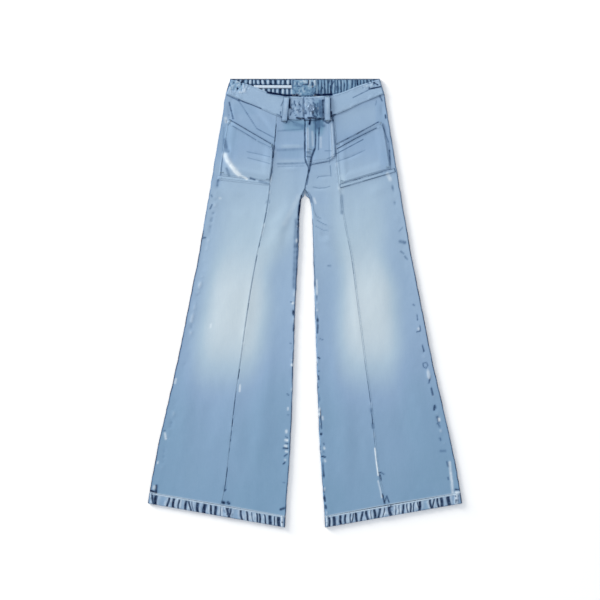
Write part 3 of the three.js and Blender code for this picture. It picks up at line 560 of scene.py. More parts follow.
probe = front_at(1, SIDE, SEAM, np.array([0.5]), np.array([12.0]))
print("a point on the left thigh:", [round(float(c[0]), 1) for c in probe[:3]])

# %% [markdown]
# ## What the wash did
# Stonewashing leaves the hips mid blue, the thighs and knees pale and the lower legs darker. That is one
# short table: a tone for the cloth at each height, and how much paler the middle of the thigh is there.
# Tones run from 0, raw indigo, to 1, white. Painting an image would give the same picture, but numbers
# at each point of the mesh keep the fade sharp at any size and move with the cloth.

# %% Tone of the cloth
# Height y, tone beside the fade, extra tone in the middle of the fade.
WASH = [
    (560, 0.53, 0.00), (476, 0.52, 0.00), (427, 0.49, 0.00), (377, 0.50, 0.01), (328, 0.55, 0.06),
    (279, 0.59, 0.06), (230, 0.585, 0.12), (180, 0.58, 0.17), (131, 0.575, 0.22), (82, 0.56, 0.305),
    (32, 0.545, 0.38), (-17, 0.54, 0.40), (-66, 0.52, 0.41), (-115, 0.505, 0.36), (-165, 0.47, 0.25),
    (-214, 0.425, 0.12), (-263, 0.40, 0.06), (-337, 0.38, 0.04), (-411, 0.375, 0.03), (-473, 0.36, 0.02),
    (-560, 0.36, 0.02),
]
# Height y, distance of the fade's middle from the centre line, half width of the fade.
FADE = {
    -1: [
        (560, 110, 90), (180, 121, 85), (131, 139, 77), (82, 160, 68), (32, 166, 71), (-17, 171, 75),
        (-66, 180, 76), (-115, 186, 77), (-165, 195, 76), (-214, 202, 76), (-560, 230, 90),
    ],
    1: [
        (560, 110, 80), (180, 134, 60), (131, 135, 56), (82, 148, 57), (32, 155, 63), (-17, 155, 65),
        (-66, 156, 69), (-115, 158, 70), (-165, 156, 68), (-214, 160, 70), (-560, 190, 90),
    ],
}
# Stains and rubbed spots, and painted shade: the dark spots at x 33 and 24, beside the button and down the
# fly, are painted shade in the hollow there. Middle x and y, half width and half height in mm, change of
# tone.
STAINS_AND_SHADE = [
    (33, 478, 13, 26, -0.17), (-25, 438, 30, 15, -0.15), (33, 434, 13, 22, -0.15),
    (0, 478, 46, 30, -0.03),
    (24, 438, 28, 14, -0.08),
    (-36, 367, 30, 11, -0.06), (-34, 386, 26, 5, 0.09), (-36, 349, 32, 4, 0.05),
    (-174, 539, 24, 17, -0.19), (-150, 478, 34, 14, -0.04), (128, 452, 52, 34, 0.05),
    (-218, 301, 11, 18, -0.06), (22, 400, 12, 50, -0.05), (-188, 395, 24, 60, -0.03),
    (186, 470, 12, 30, -0.05),
    (90, 292, 8, 26, 0.05), (34, 260, 34, 18, -0.03), (196, 345, 12, 30, -0.05),
]
wash_tone, wash_fade = (smooth_curve([(row[0], row[k]) for row in WASH]) for k in (1, 2))
fade_middle, fade_width = (
    {side: smooth_curve([(row[0], row[k]) for row in FADE[side]]) for side in FADE} for k in (1, 2)
)


def stained_and_shaded(x, y):
    """Change of tone by the stains and by the painted shade, each a soft rounded box."""
    change = np.zeros(np.broadcast(x, y).shape)
    for at_x, at_y, wide, tall, amount in STAINS_AND_SHADE:
        away = (((x - at_x) / wide) ** 4 + ((y - at_y) / tall) ** 4) ** 0.25
        change += amount * (1 - soft_step(away, 0.6, 1.3))
    return change


def tone_at(x, y):
    """Tone of the washed cloth at a point of the fronts or backs, with its stains and some painted shade."""
    middle = np.where(x < 0, fade_middle[-1](y), fade_middle[1](y))
    width = np.where(x < 0, fade_width[-1](y), fade_width[1](y))
    aside = np.abs(np.abs(x) - middle) / width
    tone = wash_tone(y) + wash_fade(y) * np.exp(-math.log(2) * aside**4.5)
    cloud = 0.6 * wander_over(x / 70 + 9, y / 110, 11) + 0.4 * wander_over(x / 28, y / 46, 12)
    return tone + 0.011 * cloud + stained_and_shaded(x, y)


def patchy_line(at, seed):
    """Strength of a worn line along its way, which fades out here and there."""
    return 0.15 + 0.85 * soft_step(wander(at / 24, seed) + 0.5 * wander(at / 6, seed + 1), -0.6, 0.4)


# Lengths of the front seams that are dark: upper and lower y, and how dark.
SEAM_WORN = {
    -1: [
        (440, 396, 0.9), (390, 358, 0.8), (290, 225, 0.4), (225, 198, 0.65), (190, 150, 0.35),
        (150, 137, 0.6),
        (118, 98, 0.6), (98, 2, 0.4), (2, -18, 0.65), (-18, -60, 0.35), (-60, -158, 0.22),
        (-162, -187, 0.85),
        (-216, -236, 0.4), (-236, -276, 0.65), (-284, -305, 0.85), (-312, -328, 0.5), (-335, -340, 0.9),
        (-356, -368, 0.45), (-405, -430, 0.85), (-430, -462, 0.65),
    ],
    1: [
        (262, 222, 0.25), (195, 160, 0.15), (155, 105, 0.3), (105, 70, 0.45), (70, 32, 0.3),
        (32, -30, 0.2),
        (-30, -140, 0.12), (-140, -190, 0.3), (-190, -214, 0.45), (-214, -244, 0.55), (-272, -300, 0.85),
        (-310, -345, 0.3), (-424, -440, 0.3),
    ],
}


def worn_lengths(y, lengths):
    """How dark a seam is at each height, from 0 to 1."""
    dark = np.zeros(np.shape(y))
    for top, foot, strength in lengths:
        inside = soft_step(y, foot - 3, foot + 3) * (1 - soft_step(y, top - 3, top + 3))
        dark = np.maximum(dark, strength * inside)
    return dark


print("tone at the knee", round(float(tone_at(np.array([-180.0]), np.array([-20.0]))[0]), 2))

# %% [markdown]
# ## Making a cloth
# Every cloth here is a grid of points with an outer and an inner face, closed round its edge. The edge
# itself is rounded by one middle row, because cut cloth has no sharp corners. Solidify could thicken a
# single face, but two faces of our own let the inside stay plain while the outside creases. Three
# numbers go with each point for the colour: the tone from the wash, a dark share for dye that stayed
# dark and for painted shade, and the chalk where it rubbed off.

# %% Closed cloth from two grids
EDGE_SWELL = 0.08  # mm that a cut edge bulges
made = []


def stack(x, y, z):
    return np.stack(np.broadcast_arrays(x, y, z), axis=-1)


def cut_area(outer):
    """Area of a grid of points, in square metres."""
    p = outer * MM
    one = np.cross(p[1:, :-1] - p[:-1, :-1], p[:-1, 1:] - p[:-1, :-1])
    two = np.cross(p[1:, :-1] - p[1:, 1:], p[:-1, 1:] - p[1:, 1:])
    return float(np.linalg.norm(one, axis=-1).sum() + np.linalg.norm(two, axis=-1).sum()) / 2


def cloth(node, outer, inner, tone, ink_and_shade=0.0, chalk=0.0, cut=None, slot="denim", rests_on=()):
    """A closed mesh from grids of outer and inner points in mm, shape (rows, columns, 3).

    It stands for a solid of that name; cut is the width and length that it is cut to, in metres."""
    rows, columns = outer.shape[:2]
    count = rows * columns
    order = np.arange(count).reshape(rows, columns)
    loop = np.concatenate([order[0, :-1], order[:-1, -1], order[-1, :0:-1], order[:0:-1, 0]])
    top, low = outer.reshape(-1, 3), inner.reshape(-1, 3)
    middle = (top[loop] + low[loop]) / 2
    away = middle - top.mean(axis=0)
    away[:, 2] = 0
    away /= np.maximum(np.linalg.norm(away, axis=1), 1e-6)[:, None]
    points = np.concatenate([top, low, middle + EDGE_SWELL * away]) * MM
    a, b = order[:-1, :-1].ravel(), order[:-1, 1:].ravel()
    c, d = order[1:, 1:].ravel(), order[1:, :-1].ravel()
    ring = 2 * count + np.arange(len(loop))
    after, ring_after = np.roll(loop, -1), np.roll(ring, -1)
    faces = np.concatenate(
        [
            np.stack([a, b, c, d], 1),
            np.stack([a, d, c, b], 1) + count,
            np.stack([after, loop, ring, ring_after], 1),
            np.stack([ring_after, ring, loop + count, after + count], 1),
        ]
    )
    corner = points[faces]
    volume = 0.0
    for i, j in ((1, 2), (2, 3)):
        volume += np.einsum("ij,ij->", corner[:, 0], np.cross(corner[:, i], corner[:, j]))
    if volume < 0:
        faces = faces[:, ::-1]
    mesh = bpy.data.meshes.new(node + "_cloth")
    mesh.from_pydata(points.tolist(), [], faces.tolist())
    mesh.polygons.foreach_set("use_smooth", np.ones(len(faces), bool))
    for label, values in (("tone", tone), ("ink_and_shade", ink_and_shade), ("chalk", chalk)):
        flat = np.broadcast_to(values, (rows, columns)).ravel()
        layer = mesh.attributes.new(label, "FLOAT", "POINT")
        layer.data.foreach_set("value", np.concatenate([flat, flat, flat[loop]]).astype(np.float32))
    piece = bpy.data.objects.new(mesh.name, mesh)
    bpy.context.collection.objects.link(piece)
    area = cut_area(outer)
    made.append(dict(piece=piece, node=node, cut=cut, area=area, slot=slot, rests_on=list(rests_on)))
    print(f"{piece.name}: {len(faces)} faces, {area:.4f} square metres")
    return piece


# %% [markdown]
# ## Laying a cloth down
# A panel is a flat sheet whose ends may turn round the edge of the leg, so one function lays them all:
# fronts, backs, hems and waistbands. Columns of points crowd towards the seams, where the cloth rolls
# under and puckers, and thin out in the middle, where it is calm. A plain sewn edge dips a little
# instead, so that a fine dark line shows between neighbours.

# %% Sheets with turned ends
TURN = np.radians([0, 18, 36, 54, 72, 90])
PLAIN_STEPS = np.array([0.0, 0.4, 0.9, 1.6, 2.5, 3.7])
AFTER_TURN = np.array([1.2, 2.6, 4.2])
EDGE_DIP, DIP_REACH = 0.55, 1.7


def edge_steps(turned, radius):
    """Distances in mm from an end of a row, and how far the cloth has turned at each."""
    if not turned:
        return PLAIN_STEPS, np.full(len(PLAIN_STEPS), np.pi / 2)
    steps = np.r_[radius * (1 - np.cos(TURN)), radius + AFTER_TURN]
    return steps, np.r_[TURN, np.full(len(AFTER_TURN), np.pi / 2)]


def dip(distance):
    """How far a sewn edge rolls away at this distance from it."""
    return EDGE_DIP * (1 - soft_step(distance, 0, DIP_REACH))


def lay_out(at, rows, turned, thick, radius=LEG_FOLD, layer=1, middle=46, ends=(1, 1), rolls=(1, 1)):
    """Outer and inner points of a laid sheet, and their distances to both ends of the row.

    at(u, v) gives x, y, outer height, inner height and row length. turned says for each end how far the
    cloth turns there, from 0 to 1. layer is 1 for an upper layer and -1 for a lower one. ends says how
    far the first and last row dip, and rolls how far both ends of each row do."""
    v = rows[:, None]
    length = at(np.zeros(1), v)[4]
    amounts = [np.broadcast_to(np.asarray(t, float), v.shape) for t in turned]
    plans = [edge_steps(amount.max() > 0, radius) for amount in amounts]
    insets = [plan[0] + GAP / 2 * (1 - amount) for plan, amount in zip(plans, amounts)]
    share = np.linspace(0, 1, middle + 2)[1:-1]
    share = 0.6 * share + 0.4 * (1 - np.cos(np.pi * share)) / 2
    first, last = insets[0][:, -1:], insets[1][:, -1:]
    centre = first + share * (length - first - last)
    gone = np.concatenate([insets[0], centre, length - insets[1][:, ::-1]], axis=1)
    left = length - gone
    angle = np.r_[plans[0][1], np.full(middle, np.pi / 2), plans[1][1][::-1]]
    near = gone < left
    amount = np.where(near, amounts[0], amounts[1])
    turn = 1 - amount * (1 - np.sin(angle))
    x, y, outer = at(gone / length, v)[:3]
    shift = thick * amount * np.cos(angle) * np.where(near, 1, -1)
    xi, yi, _, inner = at((gone + shift) / length, v)[:4]
    edge = (1 - amount) * dip(np.minimum(gone, left)) * np.where(near, *rolls)
    for share, row in zip(ends, (slice(0, 1), slice(-1, None))):
        edge = np.maximum(edge, share * dip(np.hypot(x - x[row], y - y[row])))
    outer = radius + (outer - layer * edge - radius) * turn
    inner = radius + (inner - radius) * turn
    if layer > 0:
        outer, inner = np.maximum(outer, radius + GAP / 2), np.maximum(inner, radius + GAP / 2)
    else:
        outer, inner = np.minimum(outer, radius - GAP / 2), np.minimum(inner, radius - GAP / 2)
    return stack(x, y, outer), stack(xi, yi, inner), gone, left


def rows_between(start, stop, count):
    """Evenly spaced rows, with two more close to each end."""
    rows = np.linspace(start, stop, count + 1)
    step = rows[1] - rows[0]
    return np.r_[rows[0], rows[0] + step * 0.2, rows[0] + step * 0.5, rows[1:-1],
                 rows[-1] - step * 0.5, rows[-1] - step * 0.2, rows[-1]]


# %% [markdown]
# ## The front panels
# Each front is two panels, joined by the long seam down its middle. At the outseam and the inseam the
# panel turns down round the edge of the leg. The colour follows the same waves as the shape: ink in the
# seams and hollows, chalk on the crests.

# %% Front panels
LINE_STEPS, LEG_STEPS = 14, 14
# How dark the line along each seam is, how wide in mm, how even, and how strongly its puckers show.
SEAM_LOOK = {
    (-1, SIDE): (1.1, 3.0, 0.8, 0.28), (-1, SEAM): (1.0, 1.2, 0.0, 0.4), (-1, INNER): (0.8, 2.4, 0.3, 1.0),
    (1, SIDE): (0.9, 2.4, 0.45, 0.6), (1, SEAM): (1.0, 1.2, 0.0, 0.4), (1, INNER): (0.75, 2.4, 0.3, 0.9),
}
QUIET_ROLL = 0.12  # how far a seam rolls in where it isn't worn
HIP_RUBBED = {-1: 0.5, 1: 0.3}  # how far the side seam is rubbed pale over the hip
TURN_BLEND = 12  # mm below the crotch over which the inner edge starts to turn


def front_rows():
    last_line = len(FRONT_LINES[1]) - 1
    upper = rows_between(0, last_line, last_line * LINE_STEPS)[:-3]
    lower = rows_between(last_line, last_line + LEG_ROWS, LEG_ROWS * LEG_STEPS)
    return np.r_[upper, lower[:1], lower[3:]]


def worn(x, y):
    """Ink and chalk of the drawn marks and crumples; some of the drawn dark lines are painted shade."""
    rough = crumple(x, y)
    ink_and_shade = np.maximum(marks(x, y, INK_AND_SHADE_LINES), 2.0 * np.clip(-rough - 0.15, 0, 0.6))
    chalk = np.maximum(marks(x, y, CHALK_LINES), 0.5 * np.clip(rough - 0.12, 0, 1))
    return ink_and_shade, chalk


def front_panel(side, start, stop, word):
    rows = front_rows()
    inner_y = row_heights(side, rows[:, None])[..., INNER]
    leg = np.clip((INSEAM[0][0] - inner_y) / TURN_BLEND, 0, 1)

    def at(u, v):
        x, y, z, length = front_at(side, start, stop, u, v)
        return x, y, z, z - CLOTH, length

    turned = (1.0 if start == SIDE else 0.0, leg if stop == INNER else 0.0)
    seam_y = row_heights(side, rows[:, None])[..., SEAM]
    seam_roll = mix(QUIET_ROLL, 1, worn_lengths(seam_y, SEAM_WORN[side]))
    rolls = [seam_roll if end == SEAM else 1.0 for end in (start, stop)]
    outer, inner, gone, left = lay_out(at, rows, turned, CLOTH, ends=(0.2, 0.1), rolls=rolls)
    x, y = outer[..., 0], outer[..., 1]
    ink_and_shade, chalk = worn(x, y)
    for end, distance in ((start, gone), (stop, left)):
        wave = pucker(end, distance, y, 100 + 10 * end + side)
        dark, wide, even, show = SEAM_LOOK[side, end]
        along = mix(patchy_line(y, 60 + 7 * end + side), 1, even)
        if end == SEAM:
            along = worn_lengths(y, SEAM_WORN[side])
        elif end == SIDE:
            along = along * (1 - 0.75 * HIP_RUBBED[side] * soft_step(y, 150, 200))
        line = dark * flat_bell(distance, wide) * along
        ink_and_shade = np.maximum(ink_and_shade, np.maximum(line, 2.4 * show * np.clip(-wave - 0.18, 0, 0.4)))
        chalk = np.maximum(chalk, 1.8 * show * np.clip(wave - 0.24, 0, 0.4))
    chalk = np.maximum(chalk, 0.5 * bell(np.hypot(x - x[-1], y - y[-1]), 1.8))
    name = f"front_{'side' if start == SIDE else 'centre'}_{word}"
    cut = (float(np.hypot(*(outer[:, -1] - outer[:, 0])[:, :2].T).max()) * MM + 0.02, float(np.ptp(y)) * MM)
    cloth(name, outer, inner, tone_at(x, y), ink_and_shade, chalk, cut=cut, rests_on=[f"back_{word}"])


SIDES = ((-1, "right"), (1, "left"))
for side, word in SIDES:
    front_panel(side, SIDE, SEAM, word)
    front_panel(side, SEAM, INNER, word)

# %% [markdown]
# ## The backs and the hems
# The backs lie flat on the table and only their rolled edges show, so they get few points. A hem is the
# cloth folded up twice and stitched. It shrinks against its thread and twists into slanting ropes, the
# best known sign of worn jeans, so each hem gets a row of short troughs at uneven places and slants.

# %% Back panels
SEAT_ROWS, BACK_LEG_ROWS = 26, 100
CROTCH_SIDE = 315.0
# The seat hangs this many mm below the front's crotch, and opens over this many mm.
SEAT_DROP, SEAT_OPENS = 13.0, 11.0


def back_panel(side, word):
    top = np.array([band_back_foot(WAIST_SEAM_HALF), band_back_foot(0)])
    crotch = np.array([CROTCH_SIDE, INSEAM[0][0]])
    foot = np.array([HEM_TOP[0], HEM_TOP[2]]) + GAP

    def at(u, v):
        seat, leg = np.clip(v, 0, 1), np.clip(v - 1, 0, 1)
        ya, yb = (top[k] + (crotch[k] - top[k]) * seat + (foot[k] - crotch[k]) * leg for k in (0, 1))
        hang = soft_step(INSEAM[0][0] - SEAT_DROP - yb, 0, SEAT_OPENS)
        ax, bx = side_edge(side, ya), inner_edge(side, yb) * hang
        x, y = mix(ax, bx, u), mix(ya, yb, u)
        bend = band_back_foot(np.abs(x)) - GAP - mix(top[0], top[1], u)
        y = y + np.clip(1 - v * SEAT_ROWS, 0, 1) * bend
        zero = np.zeros_like(x)
        return x, y, zero, zero + CLOTH, np.hypot(bx - ax, yb - ya)

    rows = np.r_[rows_between(0, 1, SEAT_ROWS)[:-3], rows_between(1, 2, BACK_LEG_ROWS)[3:]]
    leg = np.clip(((rows[:, None] - 1) * (crotch[1] - foot[1]) - SEAT_DROP) / SEAT_OPENS, 0, 1)
    outer, inner, gone, left = lay_out(at, rows, (1.0, leg), CLOTH, layer=-1, middle=20)
    x, y = outer[..., 0], outer[..., 1]
    below_seat = soft_step(INSEAM[0][0] - SEAT_DROP - y, 0, SEAT_OPENS)
    ink_and_shade = np.maximum(bell(gone, 3.0), 0.7 * below_seat * bell(left, 2.0))
    cut = (0.345, float(np.ptp(y)) * MM)
    cloth(f"back_{word}", outer, inner, tone_at(x, y), ink_and_shade, cut=cut, rests_on=["floor"])


# %% Hems
# Each trough: distance from the centre line at the top and at the foot of the hem, width and depth in mm.
HEM_TICKS = {
    -1: [
        (378, 372, 4, 0.9), (366, 369, 6, 1.0), (333, 339, 4, 0.9), (322, 325, 4.5, 1.0),
        (309, 312, 3.6, 0.7), (291, 295, 4.4, 1.0),
        (286, 281, 3.4, 0.9), (279, 275, 2.4, 0.5), (265, 264, 5.4, 1.0), (246, 249, 6.2, 1.1),
        (233, 230, 4, 0.9),
        (220, 220, 5, 1.0), (208, 207, 2.4, 0.5), (192, 187, 5, 0.9), (182, 186, 3.2, 0.8),
        (159, 155, 4, 0.9),
        (144, 140, 3.8, 0.9), (133, 127, 2.4, 0.5), (119, 116, 3.4, 0.9), (112, 110, 3.8, 0.9),
        (100, 96, 3, 0.8),
        (85, 86, 5.4, 1.1), (73, 76, 2.6, 0.7), (65, 64, 5.4, 1.2),
    ],
    1: [
        (352, 355, 6.4, 1.0), (335, 338, 5.4, 1.0), (326, 329, 3.8, 0.9), (318, 315, 3.2, 0.8),
        (307, 312, 4, 1.0),
        (284, 282, 4.6, 1.1), (277, 281, 2.4, 0.7), (270, 266, 2.8, 0.7), (260, 261, 3.2, 0.8),
        (250, 254, 2.6, 0.7),
        (242, 242, 3.8, 0.9), (233, 231, 2.4, 0.5), (223, 224, 2.4, 0.5), (206, 212, 5.2, 1.2),
        (197, 192, 2.6, 0.6),
        (185, 182, 4.4, 0.9), (171, 173, 4.6, 1.0), (163, 163, 2.4, 0.5), (150, 155, 4.2, 1.0),
        (142, 139, 3.8, 0.9),
        (123, 129, 4.4, 1.0), (121, 115, 2.6, 0.7), (113, 111, 3, 0.6), (99, 100, 3.8, 0.9),
        (86, 89, 4.4, 1.0),
        (71, 73, 5.4, 1.0), (59, 61, 4.2, 0.9),
    ],
}
# Each lump where layers pile up: distance from the centre line, half width, how pale it is.
HEM_LUMPS = {
    -1: [(376, 5, 0.3), (190, 10, 0.4), (57, 4, 1.0)],
    1: [(373, 6, 0.9), (210, 6, 0.4), (54, 4, 0.6)],
}
HEM_RIDGE, HEM_TROUGH, HEM_LUMP = 0.8, 1.0, 0.8
HEM_LENGTH = 340.0


def hem_ropes(side, x, v):
    """Troughs, ridges and lumps of a twisted hem, each from 0 to 1; v runs down the hem."""
    away = np.abs(x)
    trough, halo, lump, pale = (np.zeros(np.broadcast(x, v).shape) for _ in range(4))
    for top, foot, width, depth in HEM_TICKS[side]:
        aside = away - mix(top, foot, v) + 0.8 * np.sin(5 * v + top)
        window = soft_step(v, 0.05, 0.22)
        trough = np.maximum(trough, depth * window * bell(aside, 0.7 * width))
        halo = np.maximum(halo, window * bell(aside, 0.7 * width + 4))
    for middle, half, shine in HEM_LUMPS[side]:
        lump = np.maximum(lump, bell(away - middle, half))
        pale = np.maximum(pale, shine * bell(away - middle, 0.8 * half))
    uneven = 0.7 + 0.45 * wander_over(x / 5, v * 3, 86)
    trough = np.minimum(trough, 1)
    return trough, np.maximum(halo * uneven, pale) * (1 - trough), lump


def hem_relief(side, x, v):
    """Height of the ropes and lumps over a plain hem."""
    trough, ridge, lump = hem_ropes(side, x, v)
    rough = 0.2 * wander_over(x / 6, v * 5, 90)
    return HEM_RIDGE * ridge - HEM_TROUGH * trough + HEM_LUMP * lump + 0.3 + rough


def hem_sheet(side, word, layer):
    def at(u, v):
        ya, yb = (mix(HEM_TOP[k], HEM_FOOT[k], v) for k in (0, 2))
        ax, bx = side * side_seam_x(ya), side * inseam_x(yb)
        x, y = mix(ax, bx, u), mix(ya, yb, u)
        length = np.hypot(bx - ax, yb - ya)
        if layer < 0:
            zero = np.zeros_like(x)
            return x, y, zero, zero + HEM_CLOTH, length
        plain = SEAM_HEIGHT + HEM_STEP - HEM_ROUNDING * v**4
        z = plain + soft_step(np.minimum(u, 1 - u), 0, 0.02) * hem_relief(side, x, v)
        return x, y, z, np.minimum(plain, SEAM_HEIGHT) - HEM_CLOTH + HEM_STEP, length

    rows = rows_between(0, 1, 24 if layer > 0 else 8)
    middle = 400 if layer > 0 else 30
    outer, inner, gone, left = lay_out(
        at, rows, (1.0, 1.0), HEM_CLOTH, layer=layer, middle=middle, ends=(0.1, 1)
    )
    x, y = outer[..., 0], outer[..., 1]
    v = np.broadcast_to(rows[:, None], x.shape)
    trough, ridge, lump = hem_ropes(side, x, v)
    edge = np.maximum(flat_bell(gone, 3.0), flat_bell(left, 3.0))
    foot_line = 0.6 * bell(v - 1, 0.05) * patchy_line(x, 65)
    speckle = 0.9 * lump * np.clip(-1.6 * wander_over(x / 3.2, y / 5, 92), 0, 1)
    ink_and_shade = np.clip(np.maximum.reduce([1.5 * trough, foot_line, speckle, 0.95 * edge]), 0, 0.88)
    chalk = np.maximum(0.75 * ridge, 0.5 * bell(v - 0.06, 0.08)) * (1 - ink_and_shade)
    cut = (HEM_LENGTH * MM + 0.02, 0.030)
    name, below = (f"hem_front_{word}", f"hem_back_{word}") if layer > 0 else (f"hem_back_{word}", "floor")
    cloth(name, outer, inner, tone_at(x, y) + 0.06, ink_and_shade, chalk, cut=cut, rests_on=[below])


for side, word in SIDES:
    back_panel(side, word)
    hem_sheet(side, word, 1)
    hem_sheet(side, word, -1)

# %% [markdown]
# ## Pockets, bands and the fly
# These are patches: their edges are turned in, so the rim is thicker than the middle, and they copy
# the surface that they are sewn on. Each patch asks `front_at` for that surface and adds its own
# thickness. A shrinkwrap modifier could do the same, but then the patch would not follow the rows of
# the cut.

# %% Patches
SEAT = 0.15  # mm between a patch and what it is sewn on
RIM_STEPS = np.array([0.0, 0.35, 0.8, 1.4, 2.2])


def rim_shares(size, count):
    """Shares across a patch of this size in mm, closer together at both edges."""
    near = RIM_STEPS / size
    return np.r_[near, np.linspace(near[-1], 1 - near[-1], count)[1:-1], 1 - near[::-1]]


def turned_rim(s, t, rim=0.14):
    """Thickness of a patch whose edges are turned in."""
    edge = np.minimum(np.minimum(s, 1 - s), np.minimum(t, 1 - t))
    return PATCH_CLOTH + PATCH_EDGE * (1 - soft_step(edge, rim * 0.6, rim * 1.6))


def patch(node, size, counts, point, rise, below, edges=(0, 0, 0, 0), wear=None, cut=None, slot="denim"):
    """A patch of size (width, height) in mm. point(s, t) is on what it lies on, rise(s, t) its thickness.

    edges says how dark the line is at s = 0, s = 1, t = 0 and t = 1."""
    s, t = np.meshgrid(rim_shares(size[0], counts[0]), rim_shares(size[1], counts[1]))
    x, y, z = point(s, t)
    distances = (s * size[0], (1 - s) * size[0], t * size[1], (1 - t) * size[1])
    nearest = np.minimum.reduce(distances)
    roll = 0.55 * (1 - soft_step(nearest, 0, 2.4))
    outer, inner = stack(x, y, z + SEAT + rise(s, t) * (1 - roll)), stack(x, y, z + SEAT)
    ink_and_shade, chalk = worn(x, y)
    for strength, distance, seed in zip(edges, distances, range(130, 134)):
        ink_and_shade = np.maximum(ink_and_shade, strength * bell(distance, 1.4) * patchy_line(x + y, seed))
    tone = tone_at(x, y)
    if wear is not None:
        tone, ink_and_shade, chalk = wear(x, y, ink_and_shade, chalk)
    cut = cut or ((size[0] + 24) * MM, (size[1] + 24) * MM)
    return cloth(node, outer, inner, tone, ink_and_shade, chalk, cut=cut, slot=slot, rests_on=below)


# %% Pockets and their bands
POCKET_INSET, POCKET_SEAM_MARGIN, POCKET_GAPE = 15.0, 0.012, 0.9
POCKET_COLUMNS = POCKET_ROWS = 7
POCKET_CORNER = 7.0
BAND_START, BAND_STOP = {-1: 0.10, 1: 0.03}, 0.988
BAND_APART = 0.03  # rows between a pocket, or its band, and the line where they meet
MOUTH_HEM = 0.252  # share down the pocket where its mouth is stitched
# Darkness of a pocket's outer edge, inner edge, mouth and foot.
POCKET_EDGES = {-1: (0.0, 0.1, 0.7, 0.0), 1: (0.0, 0.0, 0.9, 0.0)}
BAND_EDGES = {-1: (0.0, 0.1, 0.0, 0.0), 1: (0.8, 0.9, 0.8, 0.8)}


def on_pocket(side, s, t):
    """A point of the panel under a pocket, with the pocket's rounded upper corner."""
    v = mix(MOUTH, POCKET_BASE - BAND_APART, t)
    length = front_at(side, SIDE, SEAM, 0.0, v)[3]
    u = mix(POCKET_INSET / length, 1 - POCKET_SEAM_MARGIN, s)
    x, y, z, _ = front_at(side, SIDE, SEAM, u, v)
    corner = np.maximum(0, 1 - s * POCKET_COLUMNS) * np.maximum(0, 1 - t * POCKET_ROWS)
    stand = POCKET_GAPE * np.sin(np.pi * np.clip(s, 0, 1)) * (1 - soft_step(t, 0, 0.3))
    return x - side * 0.5 * POCKET_CORNER * corner, y - 0.8 * POCKET_CORNER * corner, z + stand


def pocket_rise(side, s, t):
    """Thickness of a pocket, worn thin: the right one at its outer edge and foot, the left one inside."""
    if side < 0:
        worn_thin = mix(0.2, 1, soft_step(s, 0, 0.2)) * mix(0.3, 1, soft_step(1 - t, 0, 0.16))
    else:
        worn_thin = mix(0.25, 1, soft_step(1 - s, 0, 0.16))
    return turned_rim(s, t) * worn_thin


def band_rise(side, s, t):
    """Thickness of the stitched band under a pocket; the right one is worn nearly flush."""
    bulge = np.sin(np.pi * np.clip(t, 0, 1))
    return 0.25 + 0.2 * bulge if side < 0 else PATCH_CLOTH - 0.6 + 0.3 * bulge


def on_band(side, s, t):
    """A point of the panel under a pocket band."""
    u, v = mix(BAND_START[side], BAND_STOP, s), mix(POCKET_BASE + BAND_APART, CROTCH, t)
    return front_at(side, SIDE, SEAM, u, v)[:3]


for side, word in SIDES:
    patch(
        f"pocket_{word}", (128, 108), (108, 92), partial(on_pocket, side), partial(pocket_rise, side),
        [f"front_side_{word}"], edges=POCKET_EDGES[side],
    )
    patch(
        f"pocket_band_{word}", (130, 10), (100, 12), partial(on_band, side), partial(band_rise, side),
        [f"front_side_{word}"], edges=BAND_EDGES[side], cut=(0.150, 0.022),
    )

# %% Fly
FLY_START, FLY_STOP, FLY_TUCK = 0.03, 0.98, 0.02
FLY_HOLLOW, FLY_CORNER = 0.6, 12.0


def on_fly(s, t):
    """A point of the panel under the fly, whose lower corner is rounded."""
    u, v = mix(FLY_START, FLY_STOP, s), mix(FLY_TUCK, FLY_FOOT - FLY_TUCK, t)
    x, y, z, _ = front_at(1, INNER, SEAM, u, v)
    return x, y + FLY_CORNER * soft_step(u, 0.72, 1) * soft_step(v / FLY_FOOT, 0.86, 1), z


def fly_rise(s, t):
    hollow = mix(0.36, 0.16, np.clip(t, 0, 1) ** 1.6)
    return turned_rim(s, 0.5) - FLY_HOLLOW * bell(mix(FLY_START, FLY_STOP, s) - hollow, 0.1)


patch("fly", (72, 112), (70, 90), on_fly, fly_rise, ["front_centre_left"], edges=(0.9, 0.9, 0.3, 0.7))

# %% [markdown]
# ## The waistband
# The front of the waistband is a right half, which runs on under the closure, and a left half that laps
# over it. It is stiffer and thicker than one layer. Behind it shows the inside of the back waistband,
# where the elastic-like gathers of a shrunken band stand as short upright ridges, pale on the crest and
# dark between.

# %% Front waistband
BAND_END = {-1: 22.0, 1: -2.0}
UNDERLAP_DROP, CLOSURE_RISE = 1.4, 1.7
BAND_HOLLOW = (33, 9, 0.7)  # middle x, width and depth, beside the button


def band_level(side, x):
    """Upper height of the plain front waistband."""
    if side < 0:
        return BAND_HEIGHT - UNDERLAP_DROP * soft_step(x, -22, -6)
    middle, width, depth = BAND_HOLLOW
    return BAND_HEIGHT + CLOSURE_RISE * (1 - soft_step(x, 36, 78)) - depth * bell(x - middle, width)


